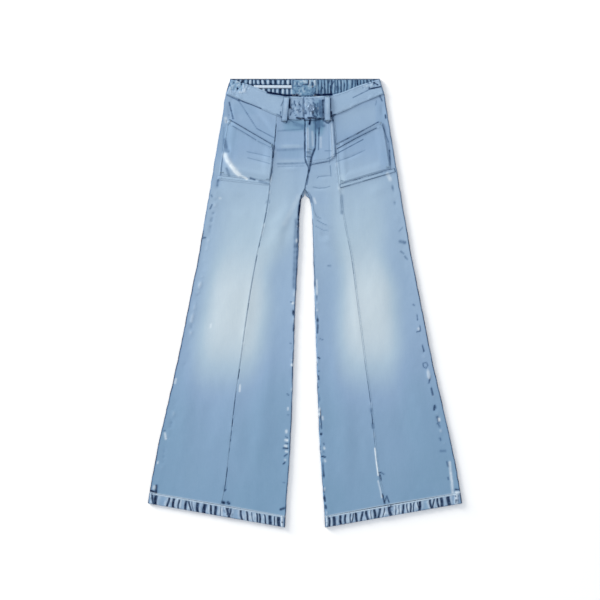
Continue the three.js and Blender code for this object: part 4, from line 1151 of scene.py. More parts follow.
def band_at(side, u, v):
    """x, y, height, inner height and row length of a front waistband, from its hip to its end."""
    end = BAND_END[side]
    foot_x, top_x = mix(side * WAIST_SEAM_HALF, end, u), mix(side * WAIST_HALF, end, u)
    x = mix(foot_x, top_x, v)
    foot, top = band_front_foot(np.abs(foot_x)), band_front_top(np.abs(top_x))
    y = mix(foot, top, v)
    hip_x = mix(side * WAIST_SEAM_HALF, side * WAIST_HALF, v)
    hip_y = mix(band_front_foot(WAIST_SEAM_HALF), band_front_top(WAIST_HALF), v)
    end_y = mix(band_front_foot(abs(end)), band_front_top(abs(end)), v)
    level = band_level(side, x)
    free = 1 - soft_step(x, -14, -6) if side < 0 else 1.0
    waves = 0.35 * wander(x / 9, 140 + side) * bell((y - foot) - 5, 4)
    waves = waves + 0.3 * wander(x / 11, 150 + side) * bell((top - y) - 4, 4)
    waves = waves + 0.25 * wander_over(x / 30, y / 20, 7) + 0.75 * crumple(x, y)
    return x, y, level + free * waves, level - BAND_CLOTH, np.hypot(end - hip_x, end_y - hip_y)


BAND_TALL = 45.0
# How dark the front waistband's seam, upper edge, hip end and closing end are, and how wide each line is.
BAND_LOOK = {
    -1: ((0.1, 1.3), (0.3, 1.3), (1.0, 2.6), (0.7, 1.3)),
    1: ((0.25, 1.3), (0.3, 1.3), (0.9, 2.2), (0.9, 1.6)),
}


def band_front(side, word):
    rows = rows_between(0, 1, 30)
    outer, inner, gone, left = lay_out(
        partial(band_at, side), rows, (1.0, 0.0), BAND_CLOTH, radius=BAND_FOLD, middle=180, ends=(0.2, 1)
    )
    x, y = outer[..., 0], outer[..., 1]
    v = np.broadcast_to(rows[:, None], x.shape)
    ink_and_shade, chalk = worn(x, y)
    distances = (v * BAND_TALL, (1 - v) * BAND_TALL, gone, left)
    for (strength, wide), distance, seed in zip(BAND_LOOK[side], distances, (161, 162, 164, 165)):
        along = mix(patchy_line(x + y, seed + side), 1, 0.4)
        ink_and_shade = np.maximum(ink_and_shade, strength * flat_bell(distance, wide) * along)
    cut = (0.225, 0.065)
    cloth(f"waistband_front_{word}", outer, inner, tone_at(x, y) + 0.04, ink_and_shade, chalk, cut=cut,
          rests_on=["waistband_back"])


for side, word in SIDES:
    band_front(side, word)

# %% Back waistband
BAND_GATHERS = dict(pitch=11.6, height=0.85, upper=0.82, lower=0.29, upper_half=0.16, lower_half=0.23)
GATHERS_CHANGE = (-38, -26)  # x between which two rows of gathers become one


def gathers(x, v):
    """Upright ridges inside the back waistband, from 0 to 1, in two rows on the right half."""

    def ridges(seed, pitch, sway):
        phase = 2 * np.pi * x / pitch + sway * wander(x / 17, seed)
        phase = phase + 0.7 * wander_over(x / 9, v * 3, seed + 3)
        return (0.5 + 0.5 * np.sin(phase)) * (0.8 + 0.3 * wander(x / pitch + 0.4, seed + 6))

    def row_of(name, seed):
        away = (v - BAND_GATHERS[name]) / BAND_GATHERS[name + "_half"]
        return ridges(seed, pitch, 1.3) * np.clip(1.15 - away**2, 0, 1)

    pitch = BAND_GATHERS["pitch"]
    upper, lower = row_of("upper", 171), row_of("lower", 172)
    single = 0.75 * ridges(173, 0.72 * pitch, 2.6) + 0.4 * np.clip(wander_over(x / 2.8, v * 2, 174), 0, 1)
    return np.clip(mix(upper + lower, single, soft_step(x, *GATHERS_CHANGE)), 0, 1)


def band_back_at(u, v):
    x = mix(mix(-WAIST_SEAM_HALF, -WAIST_HALF, v), mix(WAIST_SEAM_HALF, WAIST_HALF, v), u)
    foot = band_back_foot(np.abs(mix(-WAIST_SEAM_HALF, WAIST_SEAM_HALF, u)))
    ends = soft_step(np.minimum(u, 1 - u), 0.03, 0.1)
    inner = BAND_CLOTH + ends * BAND_GATHERS["height"] * gathers(x, v)
    return x, mix(foot, TOP_EDGE, v), np.zeros_like(x), inner, 2 * mix(WAIST_SEAM_HALF, WAIST_HALF, v)


def band_back():
    """The back waistband, inside up: dark between the gathers, pale on their crests."""
    rows = rows_between(0, 1, 28)
    outer, inner, _, _ = lay_out(
        band_back_at, rows, (1.0, 1.0), BAND_CLOTH, radius=BAND_FOLD, layer=-1, middle=300
    )
    x, y = inner[..., 0], inner[..., 1]
    crest = gathers(x, rows[:, None])
    in_right = 1 - soft_step(x, *GATHERS_CHANGE)
    drawn_ink_and_shade, drawn_chalk = worn(x, y)
    hollow = 1 - soft_step(crest + 0.1 * wander_over(x / 4, y / 9, 175), 0.12, 0.55)
    ink_and_shade = np.maximum(hollow * mix(0.8, 0.9, in_right), np.maximum(drawn_ink_and_shade, bell(y - TOP_EDGE, 2.4)))
    chalk = np.maximum(soft_step(crest, 0.4, 0.75) * mix(0.12, 0.42, in_right), drawn_chalk) * (1 - ink_and_shade)
    tone = mix(0.29, 0.40, in_right) + 0.08 * wander_over(x / 6, y / 8, 176)
    cloth("waistband_back", outer, inner, tone, ink_and_shade, chalk, cut=(0.40, 0.065),
          slot="inside_denim", rests_on=["floor"])


band_back()

# %% [markdown]
# ## Belt loops, label and tape
# A belt loop is a folded strap, bowed up over the waistband and tacked down at both ends. The crumpled
# label and the pale tape inside the back are thin strips that ride on the gathers.

# %% Belt loops
LOOP = dict(width=14.0, cloth=1.8, bulge=1.9, reach=9.0)
LOOPS = (("belt_loop_right", -45.0, -51.0), ("belt_loop_left", 55.0, 55.5))


def loop_at(top, foot, across, t):
    """Underside of a belt loop at a share t down it; across runs from -1 to 1."""
    side, half = math.copysign(1, top), LOOP["width"] / 2
    y = mix(band_front_top(abs(top)) - 1, band_front_foot(abs(foot)) - LOOP["reach"], t)
    x = mix(top, foot, t)
    band_foot = band_front_foot(abs(foot) - half)
    panel = SEAM_HEIGHT if side < 0 else SEAM_HEIGHT + GAP + PATCH_CLOTH + PATCH_EDGE
    on_band = soft_step(y, band_foot - 7, band_foot - 2)
    band = np.maximum(band_level(side, x - half), band_level(side, x + half))
    bow = LOOP["bulge"] * np.sin(np.pi * np.minimum(t / 0.85, 1)) ** 1.2
    return x + across * half, y, mix(panel, band, on_band) + GAP + bow


for name, top, foot in LOOPS:
    across, t = np.meshgrid(2 * rim_shares(LOOP["width"], 9) - 1, rim_shares(62, 40))
    x, y, z = loop_at(top, foot, across, t)
    lower = 0.45 * soft_step(np.abs(across), 0.62, 1)
    channel = 0.25 * bell(np.abs(across) - 0.62, 0.12)
    outer = stack(x, y, z + LOOP["cloth"] - lower - channel + 0.15 * wander(y / 5, 181))
    tacked = np.maximum(bell(t, 0.04), bell(t - 1, 0.05))
    # Dark along both long edges is painted shade on the loop's rounded sides; dark at the ends is the
    # tacking.
    ink_and_shade = 0.8 * np.maximum(bell(np.abs(across) - 1, 0.14), tacked)
    chalk = 0.3 * bell(across, 0.3) * np.clip(wander(y / 9, 182), 0, 1)
    cloth(name, outer, stack(x, y, z), tone_at(x, y) + 0.03, ink_and_shade, chalk, cut=(0.030, 0.075),
          rests_on=["waistband_front_right" if top < 0 else "waistband_front_left"])

# %% Label and tape
INSIDE_FOOT = 3.42  # height of the gathers' crests
STRIP_CLOTH, LABEL_TONE = 0.8, 0.28


def label_wear(x, y, ink_and_shade, chalk):
    """Tone, ink and chalk of a washed label: crumpled like the denim round it."""
    rough = 0.7 * wander_over(x / 5, y / 6, 195) + 0.5 * wander_over(x / 2.6, y / 3, 196)
    tone = np.full(x.shape, LABEL_TONE)
    ink_and_shade = np.maximum(ink_and_shade, 0.9 * np.clip(-rough - 0.1, 0, 1))
    return tone, ink_and_shade, np.maximum(chalk, 0.4 * np.clip(rough, 0, 1))


def on_gathers(x1, x2, y1, y2, s, t):
    """A point on the crests of the gathers, inside a box."""
    return mix(x1, x2, s), mix(y1, y2, t), INSIDE_FOOT + 0.12 * wander(s * 9, 191) + 0.1 * t


def strip_rise(s, t):
    """Thickness of the label and the tape."""
    return np.full(s.shape, STRIP_CLOTH)


for node, slot, x1, x2, y1, y2, counts, cut in (
    ("inside_label", "label_cloth", -31, 27, 511, 549, (46, 34), (0.066, 0.046)),
    ("inside_tape", "tape_cloth", -126, -32.5, 529.5, 536.5, (60, 8), (0.100, 0.010)),
):
    patch(
        node, (x2 - x1, y2 - y1), counts, partial(on_gathers, x1, x2, y1, y2), strip_rise,
        ["waistband_back"], wear=label_wear, cut=cut, slot=slot,
    )

# %% [markdown]
# ## The waist button
# A jeans button is a metal cap with a rolled rim, pressed on a short stem. It is turned on a lathe: one
# profile, spun round an axis. Blender's Screw modifier does that too, but spinning the points in code
# closes the poles at once and leaves nothing to apply.

# %% Button
BUTTON = dict(x=15.0, y=480.0, radius=8.5, shank=3.4, height=4.6)
BUTTON_SIDES = 72


def spun(name, profile, x, y, z, sides):
    """A closed mesh from a profile of (radius, height) in mm that starts and ends on the axis."""
    ring = np.linspace(0, 2 * np.pi, sides, endpoint=False)
    points, faces = [(x, y, z + profile[0][1])], []
    for radius, height in profile[1:-1]:
        points += [(x + radius * math.cos(a), y + radius * math.sin(a), z + height) for a in ring]
    points.append((x, y, z + profile[-1][1]))
    last = len(points) - 1
    levels = len(profile) - 2
    for k in range(sides):
        n = (k + 1) % sides
        faces.append((0, 1 + n, 1 + k))
        for level in range(levels - 1):
            low, high = 1 + level * sides, 1 + (level + 1) * sides
            faces.append((low + k, low + n, high + n, high + k))
        top = 1 + (levels - 1) * sides
        faces.append((top + k, top + n, last))
    mesh = bpy.data.meshes.new(name)
    mesh.from_pydata([Vector(p) * MM for p in points], [], faces)
    mesh.polygons.foreach_set("use_smooth", np.ones(len(faces), bool))
    piece = bpy.data.objects.new(name, mesh)
    bpy.context.collection.objects.link(piece)
    return piece


r, h, stem = BUTTON["radius"], BUTTON["height"], BUTTON["shank"]
button_profile = [
    (0, 0), (stem - 0.2, 0), (stem, 0.25), (stem, h * 0.40), (stem + 0.4, h * 0.44), (r - 1.2, h * 0.42),
    (r - 0.5, h * 0.45), (r - 0.1, h * 0.54), (r, h * 0.66), (r - 0.12, h * 0.80), (r - 0.5, h * 0.92),
    (r - 1.0, h * 0.98), (r - 1.4, h * 0.965), (r - 1.7, h * 0.90), (r - 2.0, h * 0.86),
    (r * 0.62, h * 0.87), (r * 0.58, h * 0.91), (r * 0.50, h * 0.93), (r * 0.46, h * 0.90),
    (r * 0.42, h * 0.87), (r * 0.20, h * 0.88), (r * 0.16, h * 0.95), (r * 0.08, h * 0.99), (0, h),
]
button_foot = float(band_level(1, BUTTON["x"])) + GAP
button = spun("waist_button_turned", button_profile, BUTTON["x"], BUTTON["y"], button_foot, BUTTON_SIDES)
print("button", len(button.data.polygons), "faces, top at", round(button_foot + h, 1), "mm")

# %% [markdown]
# ## Denim
# Denim is blue warp over pale weft in a steep twill, so a good material has three scales: the slanting
# ribs, about a millimetre apart, the uneven yarns that run up and down the leg, and the broad soft
# patches of the wash. A photo texture would give all three but repeats and blurs; nodes stay sharp. The
# vertex numbers from before decide where the blue turns dark or pale.

# %% Node helpers
def wire(tree, kind, inputs=(), **settings):
    """Adds a node, sets its settings, and fills or links its inputs by name or number."""
    node = tree.nodes.new(kind)
    for key, value in settings.items():
        setattr(node, key, value)
    for key, value in dict(inputs).items():
        socket = key
        if isinstance(key, str):
            socket = next(i for i, s in enumerate(node.inputs) if s.name == key and s.enabled)
        if isinstance(value, bpy.types.NodeSocket):
            tree.links.new(value, node.inputs[socket])
        else:
            node.inputs[socket].default_value = value
    return node


def maths(tree, operation, a, b, c=0.0, clamp=False):
    return wire(tree, "ShaderNodeMath", {0: a, 1: b, 2: c}, operation=operation, use_clamp=clamp).outputs[0]


def blend_colour(tree, factor, a, b, mode="MIX"):
    node = wire(tree, "ShaderNodeMix", {0: factor, 6: a, 7: b}, data_type="RGBA", blend_type=mode)
    return node.outputs[2]


def colour(red, green, blue, darker=1.0):
    """A colour given as a screen shows it, from 0 to 255, for a shader."""
    linear = [c / 255 / 12.92 if c <= 10 else ((c / 255 + 0.055) / 1.055) ** 2.4 for c in (red, green, blue)]
    return (*[c * darker for c in linear], 1.0)


# %% Denim material
STUDIO_WHITE = 0.872  # the light shows a colour brighter than it is, so colours are set darker by this
INDIGO = [
    (0.00, (58, 86, 122)), (0.30, (117, 153, 181)), (0.50, (143, 170, 199)),
    (0.75, (170, 193, 210)), (1.00, (203, 216, 222)),
]
# Half-strength dark dye and half-strength painted shade both pass through this clear blue before they turn
# dark.
RAW_BLUE, MIDDLE_SHARE = (70, 106, 148), 0.6  # half worn dye is a clear blue before it is dark
INK_AND_SHADE_COLOUR, CHALK_COLOUR = (0, 21, 58), (222, 234, 243)
COOLER = (0.97, 0.98, 1.04, 1)  # by which the cooler patches of the wash multiply
TWILL_PITCH = 0.0013
YARN = (700, 28, 1)  # across, along and through, per metre


def twill_scale(pitch):
    """Scale of a diagonal wave texture whose bands are this far apart."""
    return 2 * math.pi / (20 * pitch) * math.sqrt(2)


def denim(name, turn=0.0):
    """Washed denim; turn is the angle of its grain."""
    material = bpy.data.materials.new(name)
    material.use_nodes = True
    tree = material.node_tree
    shader = tree.nodes["Principled BSDF"]
    place = wire(tree, "ShaderNodeTexCoord").outputs["Object"]
    grain = wire(
        tree, "ShaderNodeMapping", {"Vector": place, "Rotation": (0, 0, turn), "Scale": (1, 1, 0.2)}
    ).outputs[0]
    yarn_place = wire(tree, "ShaderNodeMapping", {"Vector": grain, "Scale": YARN}).outputs[0]
    yarn = wire(tree, "ShaderNodeTexNoise", {"Vector": yarn_place, "Scale": 1.0, "Detail": 3.0}).outputs[0]
    mottle = wire(tree, "ShaderNodeTexNoise", {"Vector": grain, "Scale": 140.0, "Detail": 4.0}).outputs[0]
    cloud = wire(tree, "ShaderNodeTexNoise", {"Vector": grain, "Scale": 11.0, "Detail": 2.0}).outputs[0]
    twill = wire(
        tree, "ShaderNodeTexWave", {"Vector": grain, "Scale": twill_scale(TWILL_PITCH), "Distortion": 0.6,
                                    "Detail": 1.0, "Detail Scale": 2.0},
        wave_type="BANDS", bands_direction="DIAGONAL",
    ).outputs["Fac"]
    tone, ink_and_shade, chalk = (
        wire(tree, "ShaderNodeAttribute", attribute_name=label).outputs["Fac"]
        for label in ("tone", "ink_and_shade", "chalk")
    )
    for noise, amount in ((yarn, 0.06), (mottle, 0.04), (cloud, 0.04), (twill, 0.02)):
        tone = maths(tree, "ADD", tone, maths(tree, "MULTIPLY_ADD", noise, amount, -amount / 2))
    ramp = wire(tree, "ShaderNodeValToRGB", {0: tone})
    elements = ramp.color_ramp.elements
    while len(elements) < len(INDIGO):
        elements.new(0.5)
    for element, (position, shown) in zip(elements, INDIGO):
        element.position = position
        element.color = colour(*shown, darker=STUDIO_WHITE)
    base = ramp.outputs[0]
    # Cooler and warmer patches of the wash.
    base = blend_colour(tree, maths(tree, "MULTIPLY", cloud, 0.5), base, COOLER, "MULTIPLY")
    speckle = maths(tree, "MULTIPLY_ADD", mottle, 0.8, 0.6)
    # The dark share carries both dye left dark and painted shade.
    ink_and_shade_share = maths(tree, "MULTIPLY", ink_and_shade, speckle, clamp=True)
    blue_share = maths(tree, "MINIMUM", maths(tree, "MULTIPLY", ink_and_shade_share, 2 * MIDDLE_SHARE), MIDDLE_SHARE)
    base = blend_colour(tree, blue_share, base, colour(*RAW_BLUE, darker=STUDIO_WHITE))
    dark_share = maths(tree, "MULTIPLY", ink_and_shade_share, ink_and_shade_share)
    base = blend_colour(tree, dark_share, base, colour(*INK_AND_SHADE_COLOUR, darker=STUDIO_WHITE))
    chalk_share = maths(tree, "MULTIPLY", chalk, speckle, clamp=True)
    base = blend_colour(tree, chalk_share, base, colour(*CHALK_COLOUR, darker=STUDIO_WHITE))
    tree.links.new(base, shader.inputs["Base Color"])
    height = maths(tree, "ADD", maths(tree, "MULTIPLY", twill, 0.6), maths(tree, "MULTIPLY", yarn, 0.5))
    bump = wire(tree, "ShaderNodeBump", {"Strength": 0.55, "Distance": 0.00035, "Height": height})
    tree.links.new(bump.outputs[0], shader.inputs["Normal"])
    shader.inputs["Roughness"].default_value = 0.88
    shader.inputs["Specular IOR Level"].default_value = 0.04
    return material


washed_denim = denim("washed_denim")
band_denim = denim("band_denim", turn=math.radians(90))
inside_denim = denim("inside_denim", turn=math.radians(90))
print("twill ribs", TWILL_PITCH * 1000, "mm apart")

# %% [markdown]
# ## Label, tape, thread and metal
# The label has been washed and crumpled with the jeans, so it gets the same denim as the cloth round it.
# The tape and the thread are finer and smoother, so they get a plain weave of two crossed waves, and both
# stand out pale. The button is dull blue-grey metal: a shader whose roughness wanders, so that it looks
# rubbed in places.

# %% Other materials
def woven(name, shown, pitch, contrast, roughness):
    """A plain weave in one colour."""
    material = bpy.data.materials.new(name)
    material.use_nodes = True
    tree = material.node_tree
    shader = tree.nodes["Principled BSDF"]
    place = wire(tree, "ShaderNodeTexCoord").outputs["Object"]
    threads = [
        wire(
            tree, "ShaderNodeTexWave",
            {"Vector": place, "Scale": 2 * math.pi / (20 * pitch), "Distortion": 0.8}, bands_direction=axis,
        ).outputs["Fac"]
        for axis in ("X", "Y")
    ]
    weave = maths(tree, "MULTIPLY", *threads)
    mottle = wire(tree, "ShaderNodeTexNoise", {"Vector": place, "Scale": 260.0, "Detail": 5.0}).outputs[0]
    shade = maths(tree, "ADD", maths(tree, "MULTIPLY", weave, 0.5), mottle)
    ramp = wire(tree, "ShaderNodeValToRGB", {0: shade})
    for element, position, light in zip(ramp.color_ramp.elements, (0.25, 0.95), (1 - contrast, 1)):
        element.position = position
        element.color = colour(*[c * light for c in shown], darker=STUDIO_WHITE)
    tree.links.new(ramp.outputs[0], shader.inputs["Base Color"])
    bump = wire(tree, "ShaderNodeBump", {"Strength": 0.4, "Distance": 0.0002, "Height": weave})
    tree.links.new(bump.outputs[0], shader.inputs["Normal"])
    shader.inputs["Roughness"].default_value = roughness
    shader.inputs["Specular IOR Level"].default_value = 0.25
    return material


def worn_metal(name, bright, dark):
    """Dark metal, rubbed in places."""
    material = bpy.data.materials.new(name)
    material.use_nodes = True
    tree = material.node_tree
    shader = tree.nodes["Principled BSDF"]
    place = wire(tree, "ShaderNodeTexCoord").outputs["Object"]
    rub = wire(tree, "ShaderNodeTexNoise", {"Vector": place, "Scale": 420.0, "Detail": 6.0}).outputs[0]
    ramp = wire(tree, "ShaderNodeValToRGB", {0: rub})
    for element, position, shown in zip(ramp.color_ramp.elements, (0.35, 0.7), (dark, bright)):
        element.position = position
        element.color = colour(*shown)
    tree.links.new(ramp.outputs[0], shader.inputs["Base Color"])
    tree.links.new(maths(tree, "MULTIPLY_ADD", rub, -0.25, 0.55), shader.inputs["Roughness"])
    bump = wire(tree, "ShaderNodeBump", {"Strength": 0.3, "Distance": 0.0001, "Height": rub})
    tree.links.new(bump.outputs[0], shader.inputs["Normal"])
    shader.inputs["Metallic"].default_value = 0.55
    return material


label_cloth = denim("label_cloth")
tape_cloth = woven("tape_cloth", (206, 223, 241), 0.0011, 0.14, 0.75)
thread = woven("tonal_thread", (146, 174, 198), 0.0006, 0.2, 0.7)
button_metal = worn_metal("button_metal", (140, 164, 190), (84, 108, 140))

finishes = {"inside_label": label_cloth, "inside_tape": tape_cloth, "waistband_back": inside_denim}
for entry in made:
    band = entry["node"].startswith(("waistband_front", "hem_", "pocket_band"))
    finish = finishes.get(entry["node"], band_denim if band else washed_denim)
    entry["piece"].data.materials.append(finish)
button.data.materials.append(button_metal)
print(len(bpy.data.materials), "materials")

# %% [markdown]
# ## Stitches
# A seam is hundreds of short threads in a row, so it is a job for Geometry Nodes. The tree takes lines,
# splits them into steps, sets one small spindle on each step and turns it along the line. Its inputs are
# the pitch and the size of a stitch, and a turn, which also makes bar tacks: the same stitches set close
# together and crosswise. At the end the result becomes a plain mesh.

# %% Node tree for rows of stitches
STITCH_SIZES = dict(Pitch=0.0032, Length=0.0027, Width=0.00085, Height=0.0007, Turn=0.0, Unevenness=0.08)


def stitch_tree():
    tree = bpy.data.node_groups.new("rows_of_stitches", "GeometryNodeTree")
    tree.interface.new_socket("Lines", in_out="INPUT", socket_type="NodeSocketGeometry")
    for label in STITCH_SIZES:
        tree.interface.new_socket(label, in_out="INPUT", socket_type="NodeSocketFloat")
    tree.interface.new_socket("Thread", in_out="INPUT", socket_type="NodeSocketMaterial")
    tree.interface.new_socket("Stitches", in_out="OUTPUT", socket_type="NodeSocketGeometry")
    given = wire(tree, "NodeGroupInput").outputs
    curve = wire(tree, "GeometryNodeMeshToCurve", {"Mesh": given["Lines"]}).outputs[0]
    step = {"Curve": curve, "Length": given["Pitch"]}
    steps = wire(tree, "GeometryNodeResampleCurve", step, mode="LENGTH")
    points = wire(tree, "GeometryNodeCurveToPoints", {"Curve": steps.outputs[0]}, mode="EVALUATED").outputs
    spindle = wire(tree, "GeometryNodeMeshUVSphere", {"Segments": 6, "Rings": 4, "Radius": 0.5}).outputs[0]
    size = wire(tree, "ShaderNodeCombineXYZ", {0: given["Length"], 1: given["Width"], 2: given["Height"]})
    spindle = wire(tree, "GeometryNodeTransform", {"Geometry": spindle, "Scale": size.outputs[0]}).outputs[0]
    low = wire(tree, "ShaderNodeMath", {0: 0.0, 1: given["Unevenness"]}, operation="SUBTRACT").outputs[0]
    sway = wire(tree, "FunctionNodeRandomValue", {2: low, 3: given["Unevenness"], 8: 5}).outputs[1]
    angle = wire(tree, "ShaderNodeMath", {0: given["Turn"], 1: sway}, operation="ADD").outputs[0]
    tangent = {"Vector": points["Tangent"]}
    along = wire(tree, "FunctionNodeAlignRotationToVector", tangent, axis="X").outputs[0]
    turn = wire(tree, "FunctionNodeAxisAngleToRotation", {"Axis": (0, 0, 1), "Angle": angle}).outputs[0]
    both = {0: along, 1: turn}
    rotation = wire(tree, "FunctionNodeRotateRotation", both, rotation_space="LOCAL").outputs[0]
    scale = wire(tree, "FunctionNodeRandomValue", {2: 0.88, 3: 1.08, 8: 6}).outputs[1]
    placed = wire(
        tree, "GeometryNodeInstanceOnPoints",
        {"Points": points["Points"], "Instance": spindle, "Rotation": rotation, "Scale": scale},
    ).outputs[0]
    real = wire(tree, "GeometryNodeRealizeInstances", {0: placed}).outputs[0]
    smooth = wire(tree, "GeometryNodeSetShadeSmooth", {0: real}).outputs[0]
    coloured = wire(tree, "GeometryNodeSetMaterial", {"Geometry": smooth, "Material": given["Thread"]})
    wire(tree, "NodeGroupOutput", {0: coloured.outputs[0]})
    return tree


rows_of_stitches = stitch_tree()


def stitched(name, lines, **sizes):
    """Stitches along lines, each an array of points in mm. Returns one plain mesh."""
    points, edges = [], []
    for line in lines:
        edges += [(len(points) + k, len(points) + k + 1) for k in range(len(line) - 1)]
        points += (np.asarray(line) * MM).tolist()
    mesh = bpy.data.meshes.new(name + "_lines")
    mesh.from_pydata(points, edges, [])
    carrier = bpy.data.objects.new(name + "_lines", mesh)
    bpy.context.collection.objects.link(carrier)
    modifier = carrier.modifiers.new("stitches", "NODES")
    modifier.node_group = rows_of_stitches
    values = {**STITCH_SIZES, **sizes, "Thread": thread}
    for item in rows_of_stitches.interface.items_tree:
        if item.in_out == "INPUT" and item.name in values:
            modifier[item.identifier] = values[item.name]
    ready = carrier.evaluated_get(bpy.context.evaluated_depsgraph_get())
    result = bpy.data.meshes.new_from_object(ready)
    result.name = name
    bpy.data.objects.remove(carrier)
    piece = bpy.data.objects.new(name, result)
    bpy.context.collection.objects.link(piece)
    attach(piece, "root")
    print(name, len(result.polygons), "faces")
    return piece


# %% Rows on the fronts
STITCH_LIFT = 0.15
SEAM_INSET = 2.4  # mm from the front seam, on its outer side
seam_v = np.linspace(0.05, 27.96, 420)
lines = []
for side, _ in SIDES:
    length = front_at(side, SIDE, SEAM, 0.0, seam_v)[3]
    x, y, z, _ = front_at(side, SIDE, SEAM, 1 - SEAM_INSET / length, seam_v)
    lines.append(stack(x, y, z - dip(SEAM_INSET) + STITCH_LIFT))
stitched("front_seam_stitches", lines)


# %% Rows on patches
def patch_row(point, rise, s, t, lift=STITCH_LIFT):
    """A row of stitches over a patch, s and t being the shares along it."""
    s, t = np.broadcast_arrays(s, t)
    x, y, z = point(s, t)
    return stack(x, y, z + SEAT + rise(s, t) + lift)


along = np.linspace(0.015, 0.985, 90)
lines = []
for side, _ in SIDES:
    pocket, pocket_thick = partial(on_pocket, side), partial(pocket_rise, side)
    for depth in (0.03, MOUTH_HEM, 0.972):
        lines.append(patch_row(pocket, pocket_thick, along, np.full(90, depth)))
    for depth in (0.02, 0.98):
        lines.append(patch_row(pocket, pocket_thick, np.full(90, depth), along))
    for depth in (0.2, 0.8) if side > 0 else (0.5,):
        lines.append(patch_row(partial(on_band, side), partial(band_rise, side), along, np.full(90, depth)))
stitched("pocket_stitches", lines)

# %% Rows on the fly
FLY_ROWS = (0.875, 0.955)
lines = []
for s_row in FLY_ROWS:
    down = np.linspace(0.02, 1 - (1 - s_row) * 1.2, 70)
    turn_t = down[-1] + (0.985 - (1 - s_row) * 0.4 - down[-1]) * np.sin(np.linspace(0, np.pi / 2, 14))[1:]
    turn_s = s_row - 0.12 * (1 - np.cos(np.linspace(0, np.pi / 2, 14)))[1:]
    back_s = np.linspace(turn_s[-1], 0.03, 40)[1:]
    s = np.r_[np.full(70, s_row), turn_s, back_s]
    t = np.r_[down, turn_t, np.full(39, turn_t[-1])]
    lines.append(patch_row(on_fly, fly_rise, s, t))
lines.append(patch_row(on_fly, fly_rise, np.full(90, 0.05), np.linspace(0.03, 0.97, 90)))
stitched("fly_stitches", lines)

# %% Rows on the waistband, belt loops and hems
HEM_ROW = 0.1  # share down the hem where it is stitched
BAND_ROWS, BACK_BAND_ROWS = (0.065, 0.93), (0.05, 0.95)
LOOP_ROWS = (-0.62, 0.62)  # across a belt loop, from -1 to 1
lines = []
along = np.linspace(0.03, 0.985, 200)
for side, _ in SIDES:
    for v in BAND_ROWS:
        x, y, z = band_at(side, along, np.full(200, v))[:3]
        if side < 0:
            shown = x < BAND_END[1] - 3
            x, y, z = x[shown], y[shown], z[shown]
        lines.append(stack(x, y, z + STITCH_LIFT - dip(BAND_TALL * min(v, 1 - v))))
for v in BACK_BAND_ROWS:
    x, y, _, z = band_back_at(np.linspace(0.05, 0.95, 300), np.full(300, v))[:4]
    shown = y > band_front_top(np.abs(x)) + 1
    lines.append(stack(x[shown], y[shown], z[shown] + STITCH_LIFT))
for _, top, foot in LOOPS:
    for across in LOOP_ROWS:
        x, y, z = loop_at(top, foot, np.full(50, across), np.linspace(0.04, 0.96, 50))
        lines.append(stack(x, y, z + LOOP["cloth"] - 0.2))
for side, _ in SIDES:
    u = np.linspace(0.012, 0.988, 260)
    ya, yb = (mix(HEM_TOP[k], HEM_FOOT[k], HEM_ROW) for k in (0, 2))
    x = mix(side * side_seam_x(ya), side * inseam_x(yb), u)
    z = SEAM_HEIGHT + HEM_STEP + hem_relief(side, x, np.full_like(u, HEM_ROW)) + STITCH_LIFT
    lines.append(stack(x, mix(ya, yb, u), z))
stitched("band_and_hem_stitches", lines)

# %% Bar tacks
TACK = dict(Pitch=0.0007, Length=0.0026, Width=0.0008, Height=0.0009, Turn=math.pi / 2, Unevenness=0.05)
TACK_LENGTH = 8.0


def short_line(x, y, z, angle, length=TACK_LENGTH):
    """A straight line of points in mm round a middle point."""
    share = np.linspace(-0.5, 0.5, 8) * length
    return stack(x + share * math.cos(angle), y + share * math.sin(angle), np.full(8, z))


lines = []
for _, top, foot in LOOPS:
    for t in (0.035, 0.965):
        x, y, z = (float(c) for c in loop_at(top, foot, 0.0, t))
        lines.append(short_line(x, y, z + LOOP["cloth"] + 0.1, 0.0, 9.0))
for t in (0.71, 0.80):
    x, y, z = (float(c) for c in on_fly(np.array(0.07), np.array(t)))
    lines.append(short_line(x + 4, y, z + SEAT + PATCH_CLOTH + PATCH_EDGE + 0.1, 0.0, 9.0))
for side, _ in SIDES:
    for s, t, angle in ((0.04, 0.06, 1.2), (0.95, 0.05, 1.4), (0.95, 0.95, 0.0), (0.05, 0.95, 0.0)):
        x, y, z = (float(c) for c in on_pocket(side, np.array(s), np.array(t)))
        rise = float(pocket_rise(side, s, t))
        lines.append(short_line(x, y, z + SEAT + rise + 0.1, angle))
stitched("bar_tacks", lines, **TACK)

# %% [markdown]
# ## Putting each cloth in place
# Each cloth rides on the garment's one body and takes the place of a plain solid, which is hidden. Cloth
# can fold but it can't grow; the area of each cloth is reckoned when it is made, and its cut size is
# printed.

for entry in made:
    piece = entry["piece"]
    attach(piece, "root")
    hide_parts(entry["node"])
    width, length = entry["cut"]
    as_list(entry["rests_on"])
    print(f"{piece.name}: cut {width * 1000:.0f} by {length * 1000:.0f} mm")
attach(button, "root")
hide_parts("waist_button")

# %% [markdown]
# ## Table, light and camera
# The jeans are photographed from straight above on white. A large soft lamp low on the upper left draws
# every ridge and throws the soft shade on the right and below; a bright sky fills the rest. A long lens
# far up keeps the outline free of perspective.

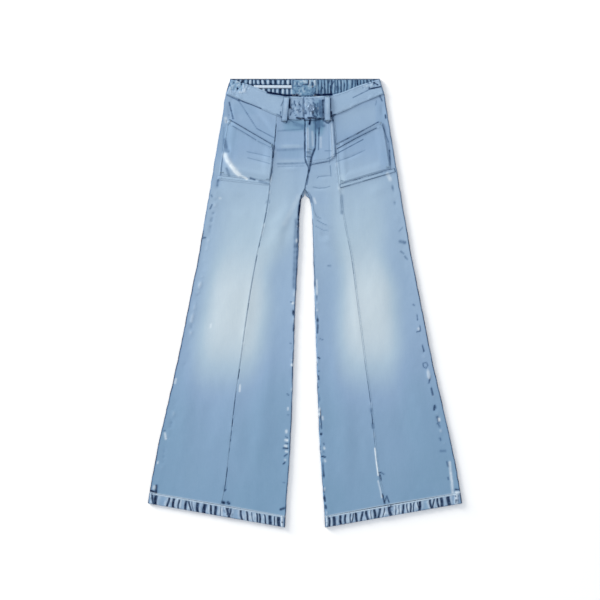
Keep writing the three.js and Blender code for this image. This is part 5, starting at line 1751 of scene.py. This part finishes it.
# %% Floor
FLOOR_HALF = 4.0
PAPER_WHITE = (0.93, 0.935, 0.94, 1)
mesh = bpy.data.meshes.new("floor")
mesh.from_pydata(
    [(-FLOOR_HALF, -FLOOR_HALF, 0), (FLOOR_HALF, -FLOOR_HALF, 0), (FLOOR_HALF, FLOOR_HALF, 0),
     (-FLOOR_HALF, FLOOR_HALF, 0)], [], [(0, 1, 2, 3)])
floor = bpy.data.objects.new("floor", mesh)
bpy.context.collection.objects.link(floor)
floor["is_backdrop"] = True
paper = bpy.data.materials.new("white_paper")
paper.use_nodes = True
tree = paper.node_tree
fibre = wire(tree, "ShaderNodeTexNoise", {"Scale": 900.0, "Detail": 3.0}).outputs[0]
bump = wire(tree, "ShaderNodeBump", {"Strength": 0.1, "Distance": 0.0001, "Height": fibre})
tree.links.new(bump.outputs[0], tree.nodes["Principled BSDF"].inputs["Normal"])
tree.nodes["Principled BSDF"].inputs["Base Color"].default_value = PAPER_WHITE
tree.nodes["Principled BSDF"].inputs["Roughness"].default_value = 0.9
floor.data.materials.append(paper)

# %% Light
SKY_STRENGTH, SKY_COLOUR = 0.80, (0.95, 0.99, 1.05, 1)
LAMP_COLOUR = (1.0, 0.94, 0.84)
KEY = dict(direction=(-0.80, 0.60, 0.215), distance=9.0, size=3.8, power=1675.0)
scene = bpy.context.scene
scene.view_settings.view_transform = "Standard"
world = bpy.data.worlds.new("studio_sky")
world.use_nodes = True
world.node_tree.nodes["Background"].inputs["Color"].default_value = SKY_COLOUR
world.node_tree.nodes["Background"].inputs["Strength"].default_value = SKY_STRENGTH
scene.world = world


def soft_lamp(name, direction, distance, size, power):
    """A square lamp that looks at the middle of the garment."""
    lamp = bpy.data.lights.new(name, "AREA")
    lamp.size = size
    lamp.energy = power
    lamp.color = LAMP_COLOUR
    holder = bpy.data.objects.new(name, lamp)
    holder.location = Vector(direction).normalized() * distance
    holder.rotation_euler = Vector(direction).to_track_quat("Z", "Y").to_euler()
    bpy.context.collection.objects.link(holder)
    return holder


soft_lamp("key_lamp", **KEY)

# %% Camera
FOCAL_LENGTH, SENSOR = 135.0, 36.0
VIEW_WIDTH = 1.479  # metres across the picture
VIEW_CENTRE = (-0.0123, 0.0077)
lens = bpy.data.cameras.new("camera")
lens.lens, lens.sensor_width = FOCAL_LENGTH, SENSOR
lens.clip_end = 100.0
camera = bpy.data.objects.new("camera", lens)
camera.location = (*VIEW_CENTRE, VIEW_WIDTH * FOCAL_LENGTH / SENSOR)
bpy.context.collection.objects.link(camera)
scene.camera = camera
print("camera", round(camera.location.z, 2), "m above the table")

# %% [markdown]
# ## Sizes of the solids and the cloths
# The cloths stand a little proud of the solids, and both boxes are printed.

# %% Sizes and finish
shown_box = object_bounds()
for label, box in (("solids", solid_box), ("shown", shown_box)):
    print(label, [[round(v, 4) for v in p] for p in box])
